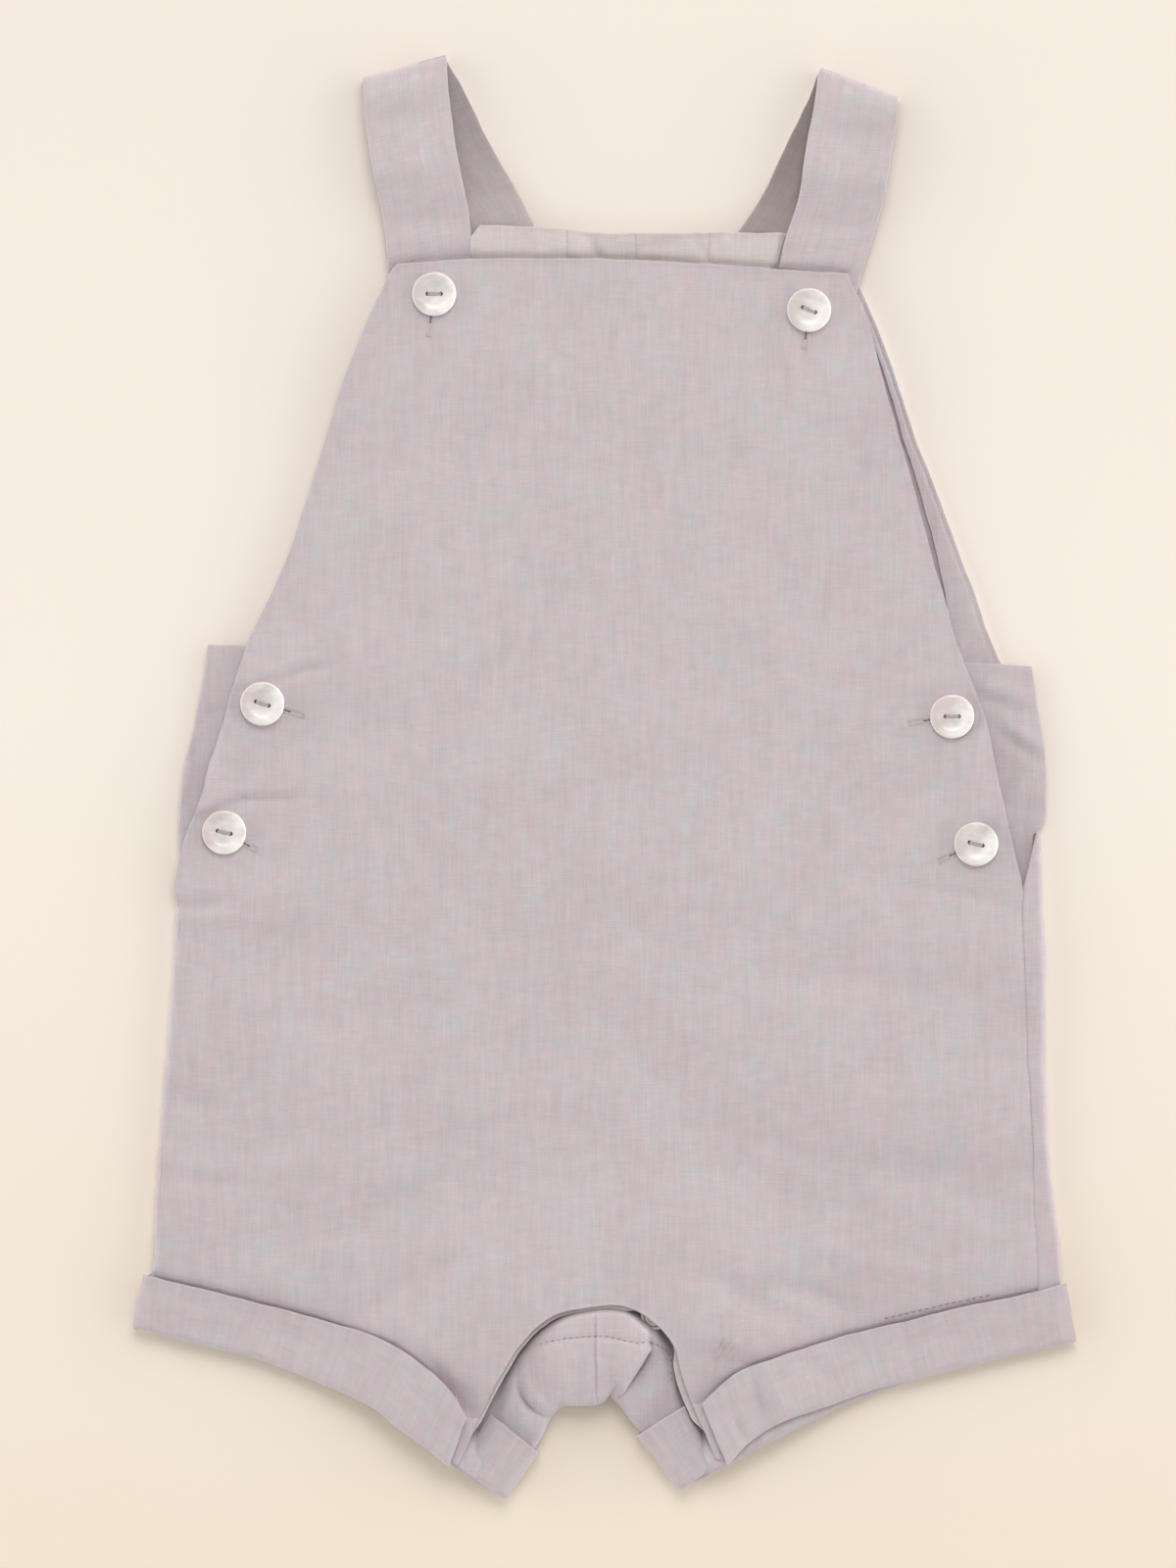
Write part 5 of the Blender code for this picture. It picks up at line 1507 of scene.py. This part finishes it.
def stitch_row(name, path, pitch, length, width, finish, turned_by=0.0):
    """A row of thread stitches along a path of surface points, each a flat lens of thread."""
    path = np.asarray(path, float)
    steps = np.linalg.norm(np.diff(path, axis=0), axis=1)
    reached = np.concatenate([[0.0], np.cumsum(steps)])
    shape = bmesh.new()
    for middle in np.arange(pitch / 2, reached[-1], pitch):
        here, ahead = [np.array([np.interp(at, reached, column) for column in path.T])
                       for at in (middle, middle + STITCH_LOOK_AHEAD)]
        run = ahead - here
        if np.linalg.norm(run) < STITCH_LEAST_RUN:
            continue
        angle = math.atan2(run[1], run[0]) + math.radians(turned_by)
        along = np.array([math.cos(angle), math.sin(angle), 0.0])
        side = np.array([-along[1], along[0], 0.0])
        ring, crown = [[shape.verts.new(Vector(here + along * (a * length) + side * (b * width / 2)
                                               + np.array([0, 0, c * width])) * MM)
                        for a, b, c in points] for points in (STITCH_RING, STITCH_CROWN)]
        for k in range(8):
            a, b = ring[k], ring[(k + 1) % 8]
            c, d = crown[CROWN_OF_RING[(k + 1) % 8]], crown[CROWN_OF_RING[k]]
            shape.faces.new((a, b, c) if c is d else (a, b, c, d))
        shape.faces.new(ring[::-1])
    mesh = bpy.data.meshes.new(name)
    bmesh.ops.recalc_face_normals(shape, faces=shape.faces)
    shape.to_mesh(mesh)
    shape.free()
    mesh.materials.append(finish)
    piece = in_scene(name, mesh)
    only(piece)
    bpy.ops.object.shade_smooth()
    return piece


def on_front(points, lift):
    """The points laid on the front's upper face."""
    grid = np.asarray(points, float)[:, :2]
    z = front_surface(grid) + LINEN / 2 + lift
    return np.concatenate([grid, z[:, None]], axis=1)


def on_turned_back(points, lift):
    """The points laid on the upper face of the turned-up back."""
    grids = [turned_surface(leg).reshape(-1, 3) for leg in ("left", "right")]
    surface = np.concatenate(grids)
    surface = surface[surface[:, 2] > RETURN_LEVEL]
    laid = []
    for x, y in np.asarray(points, float)[:, :2]:
        away = (surface[:, 0] - x) ** 2 + (surface[:, 1] - y) ** 2
        near = np.exp(-away / NEAR_SURFACE) + 1e-12
        laid.append((x, y, np.sum(surface[:, 2] * near) / np.sum(near) + LINEN / 2 + lift))
    return np.array(laid)


def add_seam_stitches(thread):
    """The rows of stitches that show: round the back's snap placket, and along a stretch of
    the right front turn-up's upper edge."""
    placket = on_turned_back(evenly(PLACKET_LINE, 60), 0.0)
    hem_line = evenly([(x, y + HEM_STITCHES_OVER) for x, y in CUFF_LINE_RIGHT], 120)
    hem_line = hem_line[(hem_line[:, 0] > HEM_STITCHES[0]) & (hem_line[:, 0] < HEM_STITCHES[1])]
    hem_line = on_front(hem_line, HEM_STITCH_LIFT)
    rows = [stitch_row("placket_stitches", placket, *PLACKET_STITCHES, thread),
            stitch_row("hem_stitches", hem_line, *HEM_STITCH_SIZES, thread)]
    for row in rows:
        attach(row, "root")
    return rows


def buttonhole(button, thread, shade):
    """A worked buttonhole: a close row of stitches on each side of its slit, a bar at its end,
    and dark lenses along the slit as painted shadow of the gap."""
    turn = math.radians(button.slit_angle)
    along = np.array([math.cos(turn), math.sin(turn)])
    side = np.array([-along[1], along[0]])
    start = np.array([button.x, button.y])
    reach = np.linspace(HOLE_STARTS, button.slit_length, 24)[:, None]
    parts = []
    for offset in (-HOLE_SIDE, HOLE_SIDE):
        line = on_front(start + along * reach + side * offset, HOLE_SUNK)
        parts.append(stitch_row("row", line, *HOLE_SIDE_STITCHES, thread, turned_by=90))
    end = start + along * (button.slit_length + HOLE_BAR_BEYOND)
    across = np.linspace(-HOLE_BAR_HALF, HOLE_BAR_HALF, 6)[:, None]
    bar = on_front(end + side * across, HOLE_SUNK)
    parts.append(stitch_row("row", bar, *HOLE_BAR_STITCHES, thread, turned_by=90))
    # Dark thread lenses along the slit beside the button: painted shadow of the gap.
    reach = np.linspace(HOLE_STARTS, BUTTON_RADIUS + SLIT_PAST_BUTTON, 16)[:, None]
    slit = on_front(start + along * reach, SLIT_SUNK)
    parts.append(stitch_row("row", slit, *SLIT_PAINTED_SHADOW, shade))
    return joined(button.name.replace("button", "buttonhole"), parts)


# Buttons and snaps -------------------------------------------------------------------------

def select_faces(test):
    """Selects the faces of the piece in edit mode whose normal passes the test."""
    bpy.ops.mesh.select_all(action="DESELECT")
    shape = bmesh.from_edit_mesh(bpy.context.object.data)
    for face in shape.faces:
        face.select = test(face.normal)
    bmesh.update_edit_mesh(bpy.context.object.data)


# Steps in a turned disc's faces: how much narrower each is, and how much farther out.
PEARL_FACE = ((0.26, 0.26), (0.34, 0.10), (1.55, 0.0), (0.30, -0.16), (0.7, -0.14), (1.2, -0.06))
PEARL_FOOT = ((0.6, 0.35), (1.6, 0.22), (1.5, 0.03))
SNAP_FACE = ((0.3, 0.22), (0.5, 0.0), (0.35, -0.28), (0.5, 0.0), (0.4, 0.26), (0.6, 0.06))
PEARL_THICK = 0.7  # the disc before its steps, and its middle's height over its foot
PEARL_MIDDLE = 0.95
PEARL_EDGES = (0.09, 2, 40)  # its rounded edges: width, segments and least angle
SNAP_THICK = 0.5
SNAP_MIDDLE = 0.45
SNAP_EDGES = (0.08, 2, 25)
FLAT_FACE = 0.9
SMOOTH_TO = math.radians(50)
THREAD_TURNS = ((-0.22, 0.0), (0.22, 0.05))  # to the side and up
THREAD_INSIDE = 0.1  # how much narrower than the holes' middles a turn is
THREAD_RADIUS = 0.25
THREAD_PULLED_FLAT = 0.33


def turned_disc(sides, radius, thickness, middle, face_steps, foot_steps=()):
    """A disc with steps turned in its upper and lower face."""
    bpy.ops.mesh.primitive_cylinder_add(vertices=sides, radius=radius * MM,
                                        depth=thickness * MM, location=(0, 0, middle * MM))
    disc = settled(bpy.context.object)
    bpy.ops.object.mode_set(mode="EDIT")
    bpy.ops.mesh.select_mode(type="FACE")
    for way, steps in ((1, face_steps), (-1, foot_steps)):
        select_faces(lambda normal: normal.z * way > FLAT_FACE)
        for narrower, out in steps:
            bpy.ops.mesh.inset(thickness=narrower * MM, depth=out * MM)
    bpy.ops.object.mode_set(mode="OBJECT")
    return disc


def button_blank():
    """A turned two-hole button: a round rim, a dished face and a narrower foot."""
    blank = turned_disc(64, BUTTON_RADIUS, PEARL_THICK, PEARL_MIDDLE, PEARL_FACE, PEARL_FOOT)
    for x in (-HOLE_OFFSET, HOLE_OFFSET):
        bpy.ops.mesh.primitive_cylinder_add(vertices=24, radius=HOLE_RADIUS * MM, depth=8 * MM,
                                            location=(x * MM, 0, 0))
        drill = bpy.context.object
        cut = blank.modifiers.new("hole", "BOOLEAN")
        cut.operation = "DIFFERENCE"
        cut.object = drill
        apply_all(blank)
        bpy.data.objects.remove(drill)
    round_edges(blank, *PEARL_EDGES)
    bpy.ops.object.shade_smooth_by_angle(angle=SMOOTH_TO)
    return blank


def button_threads():
    """Two turns of thread through the holes and round under the button."""
    turns = []
    for offset, lift in THREAD_TURNS:
        bpy.ops.mesh.primitive_torus_add(major_radius=(HOLE_OFFSET - THREAD_INSIDE) * MM,
                                         minor_radius=THREAD_RADIUS * MM,
                                         major_segments=32, minor_segments=8,
                                         location=(0, offset * MM, (PEARL_MIDDLE + lift) * MM),
                                         rotation=(math.pi / 2, 0, 0))
        turn = bpy.context.object
        turn.scale = (1.0, THREAD_PULLED_FLAT, 1.0)
        turns.append(settled(turn))
    threads = joined("button_threads", turns)
    only(threads)
    bpy.ops.object.shade_smooth()
    return threads


def placed_copy(source, name, place, turned_by, finish):
    """The source's shape, in its own mesh, at its place in the garment."""
    piece = source.copy()
    piece.data = source.data.copy()
    piece.name = name
    piece.data.name = name
    piece.data.transform(Matrix.Translation(Vector(place) * MM)
                         @ Matrix.Rotation(math.radians(turned_by), 4, "Z"))
    piece.data.materials.clear()
    piece.data.materials.append(finish)
    bpy.context.scene.collection.objects.link(piece)
    return piece


def add_buttons(thread, hole_thread, shade):
    """The buttons, each with its thread and its buttonhole; returns the buttonholes."""
    blank, threads = button_blank(), button_threads()
    holes = []
    for button in BUTTONS:
        base = float(front_level(np.array([[button.x, button.y]]))[0]) + BUTTON_STANDS
        place = (button.x, button.y, base)
        pearl = placed_copy(blank, button.name + "_pearl", place, button.holes_turned,
                            pearl_finish("mother-of-pearl " + button.name, place, button.tint))
        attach(pearl, "root")
        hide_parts(button.name)
        sewn_on = placed_copy(threads, button.name + "_thread", place, button.holes_turned, thread)
        hole = buttonhole(button, hole_thread, shade)
        for piece in (sewn_on, hole):
            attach(piece, "root")
        holes.append(hole)
    for source in (blank, threads):
        bpy.data.objects.remove(source)
    return holes


def add_snaps(metal):
    """Ring snaps: a rolled outer ring round a domed cap."""
    blank = turned_disc(40, SNAP_RADIUS, SNAP_THICK, SNAP_MIDDLE, SNAP_FACE)
    round_edges(blank, *SNAP_EDGES)
    bpy.ops.object.shade_smooth_by_angle(angle=SMOOTH_TO)
    for snap in SNAPS:
        place = (snap.x, snap.y, RETURN_LEVEL + CLOTH / 2 + GAP)
        cap = placed_copy(blank, snap.name + "_cap", place, 0, metal)
        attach(cap, "root")
        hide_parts(snap.name)
    bpy.data.objects.remove(blank)


# Stage -------------------------------------------------------------------------------------

VIEW_MIDDLE = (-4.5, -1.6)  # where the picture's middle falls on the garment
VIEW_HEIGHT = 432.0  # how much of the surface the picture's long side takes in
LENS = 300.0
FILM = 36.0
SKY_ABOVE = 0.455  # strength of the sky, and what its windows add at the sides
SKY_SIDES = 4.1
SKY_RIGHT = 0.05  # how much more on the right
WINDOW_TOP = 0.65  # heights in the sky between which the windows fade in
WINDOW_FULL = 0.05
LAMP_POWER = 27.0
LAMP_PLACE = (0.2, 1.7, 2.0)  # in metres, like the next three
LAMP_SIZE = 1.6
WARMER_DOWN = (0.06, -0.18)  # heights up the garment between which the surface gets warmer
PAINTED_SHADE_NEAR_LAMP = (0.02, 0.20)  # and between which painted shade makes it less bright, against the lamp's stronger light there


def shade_sky(tree):
    """A pale dome with the windows low down on both sides, a little more on the right."""
    direction = tree.nodes.new("ShaderNodeTexCoord").outputs["Generated"]
    split = tree.nodes.new("ShaderNodeSeparateXYZ")
    tree.links.new(direction, split.inputs[0])
    low = tree.nodes.new("ShaderNodeMapRange")
    low.interpolation_type = "SMOOTHSTEP"
    low.inputs["From Min"].default_value = WINDOW_TOP
    low.inputs["From Max"].default_value = WINDOW_FULL
    tree.links.new(split.outputs[2], low.inputs["Value"])

    def maths(operation, a, b, c=0.0):
        made = tree.nodes.new("ShaderNodeMath")
        made.operation = operation
        for value, socket in zip((a, b, c), made.inputs):
            if isinstance(value, float):
                socket.default_value = value
            else:
                tree.links.new(value, socket)
        return made.outputs[0]

    sideways = maths("MULTIPLY", split.outputs[0], split.outputs[0])
    sideways = maths("MULTIPLY", sideways, maths("MULTIPLY_ADD", split.outputs[0], SKY_RIGHT, 1.0))
    windows = maths("MULTIPLY", maths("MULTIPLY", sideways, low.outputs[0]), SKY_SIDES)
    background = tree.nodes["Background"]
    background.inputs["Color"].default_value = srgb(255, 252, 248)
    tree.links.new(maths("ADD", windows, SKY_ABOVE), background.inputs["Strength"])


def add_surface():
    """The cream surface, a little warmer towards the legs, with painted shade near the lamp that
    evens out its light.
    """
    bpy.ops.mesh.primitive_plane_add(size=8, location=(0, 0, 0))
    floor = bpy.context.object
    floor.name = "surface"
    n = Nodes("cream surface")
    place = n.place()
    up = n.split(place)[1]
    uneven = n.maths("MULTIPLY", n.stretched(place, (6.0, 6.0, 6.0), 2.0), 0.12)
    down = n.ramp(n.maths("ADD", up, uneven), *WARMER_DOWN)
    cream = n.mixed_colour(down, srgb(252, 244, 237), srgb(249, 239, 222))
    # Painted shade on the side towards the lamp.
    even = n.mixed_colour(n.ramp(up, *PAINTED_SHADE_NEAR_LAMP), (1.0, 1.0, 1.0, 1.0), srgb(248, 248, 248))
    colour = n.mixed_colour(1.0, cream, even, blend="MULTIPLY")
    floor.data.materials.append(n.finish(Base_Color=colour, Roughness=0.9,
                                         Specular_IOR_Level=0.1))


def add_light():
    """The sky and one large soft lamp, high beyond the straps."""
    world = bpy.data.worlds.new("soft studio")
    world.use_nodes = True
    shade_sky(world.node_tree)
    bpy.context.scene.world = world
    lamp = bpy.data.lights.new("key", "AREA")
    lamp.size = LAMP_SIZE
    lamp.energy = LAMP_POWER
    lamp.color = srgb(255, 250, 243)[:3]
    light = in_scene("key", lamp)
    light.location = LAMP_PLACE
    light.rotation_euler = (-Vector(LAMP_PLACE)).to_track_quat("-Z", "Y").to_euler()


def add_camera():
    """Straight above, far off with a long lens."""
    camera = in_scene("camera", bpy.data.cameras.new("camera"))
    camera.data.lens = LENS
    camera.data.sensor_width = FILM
    camera.location = (VIEW_MIDDLE[0] * MM, VIEW_MIDDLE[1] * MM, VIEW_HEIGHT * MM * LENS / FILM)
    bpy.context.scene.camera = camera
    bpy.context.scene.view_settings.view_transform = "Standard"


# Making ------------------------------------------------------------------------------------

# What each piece was cut to, as far as it shows: width, length and area (square metres), how it
# is held, and what it lies on.
Cut = namedtuple("Cut", "width length area held rests_on")


def main():
    linen = linen_finish("mauve linen", srgb(206, 190, 199), srgb(197, 195, 200))
    inside = linen_finish("linen inside", srgb(216, 205, 205), srgb(211, 205, 206))
    # Darker copies of the linen for the straps' lower runs beyond their folds: painted shade of
    # the upper runs over them, deeper under the right strap, and darker still up towards the
    # folds.
    painted_shade_left_strap = linen_finish("linen under the left strap", srgb(193, 180, 183),
                              srgb(186, 179, 183), painted_shade_from=(156.0, 184.0))
    painted_shade_right_strap = linen_finish("linen under the right strap", srgb(172, 158, 158),
                               srgb(165, 157, 159), painted_shade_from=(150.0, 178.0))
    thread = thread_finish("button thread", srgb(186, 178, 180))
    hole_thread = thread_finish("buttonhole thread", srgb(214, 202, 208))
    # Dark thread for the lenses along the buttonhole slits: painted shadow of the gap.
    shade = thread_finish("slit", srgb(96, 86, 92))

    garment = {
        "front_panel": (front_grids(), linen, flat_weave),
        "front_snap_placket": ([front_placket_grid()], inside, flat_weave),
        "back_snap_placket": ([back_placket_grid()], inside, flat_weave),
        "neck_facing": ([neck_facing_grid()], inside, flat_weave),
        "side_tab_left": ([underlap_grid(UNDERLAP_LEFT)], linen, flat_weave),
        "side_tab_right": ([underlap_grid(UNDERLAP_RIGHT)], linen, flat_weave),
        "strap_left": ([strap_grid("left", STRAP_LEFT_FRONT, STRAP_LEFT_FOLD, STRAP_LEFT_BACK)],
                       linen, strap_weave),
        "strap_right": ([strap_grid("right", STRAP_RIGHT_FRONT, STRAP_RIGHT_FOLD,
                                    STRAP_RIGHT_BACK)], linen, strap_weave),
    }
    for leg in ("left", "right"):
        garment["back_panel_" + leg] = (back_grids(leg), linen, flat_weave)
        garment["front_cuff_" + leg] = ([front_cuff_grid(leg)], linen, band_weave)
        garment["back_cuff_" + leg] = ([back_cuff_grid(leg)], linen, band_weave)
        garment["armhole_facing_" + leg] = ([armhole_facing_grid(leg)], linen, flat_weave)
    for node, (grids, finish, weave) in garment.items():
        edge_round = SEAM_ROUND if node.startswith("back_panel") else EDGE_ROUND
        piece = cloth_piece(node + "_cloth", grids, finish, weave, edge_round)
        # The straps' lower runs get the linen with painted shade.
        if node.startswith("strap"):
            paint_shade_under_strap(piece, painted_shade_left_strap if node.endswith("left") else painted_shade_right_strap)
        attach(piece, "root")
        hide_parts(node)
    holes = add_buttons(thread, hole_thread, shade)
    add_snaps(metal_finish("snap nickel"))
    placket_row, hem_row = add_seam_stitches(thread_finish("seam thread", srgb(172, 159, 165)))
    add_surface()
    add_light()
    add_camera()


main()
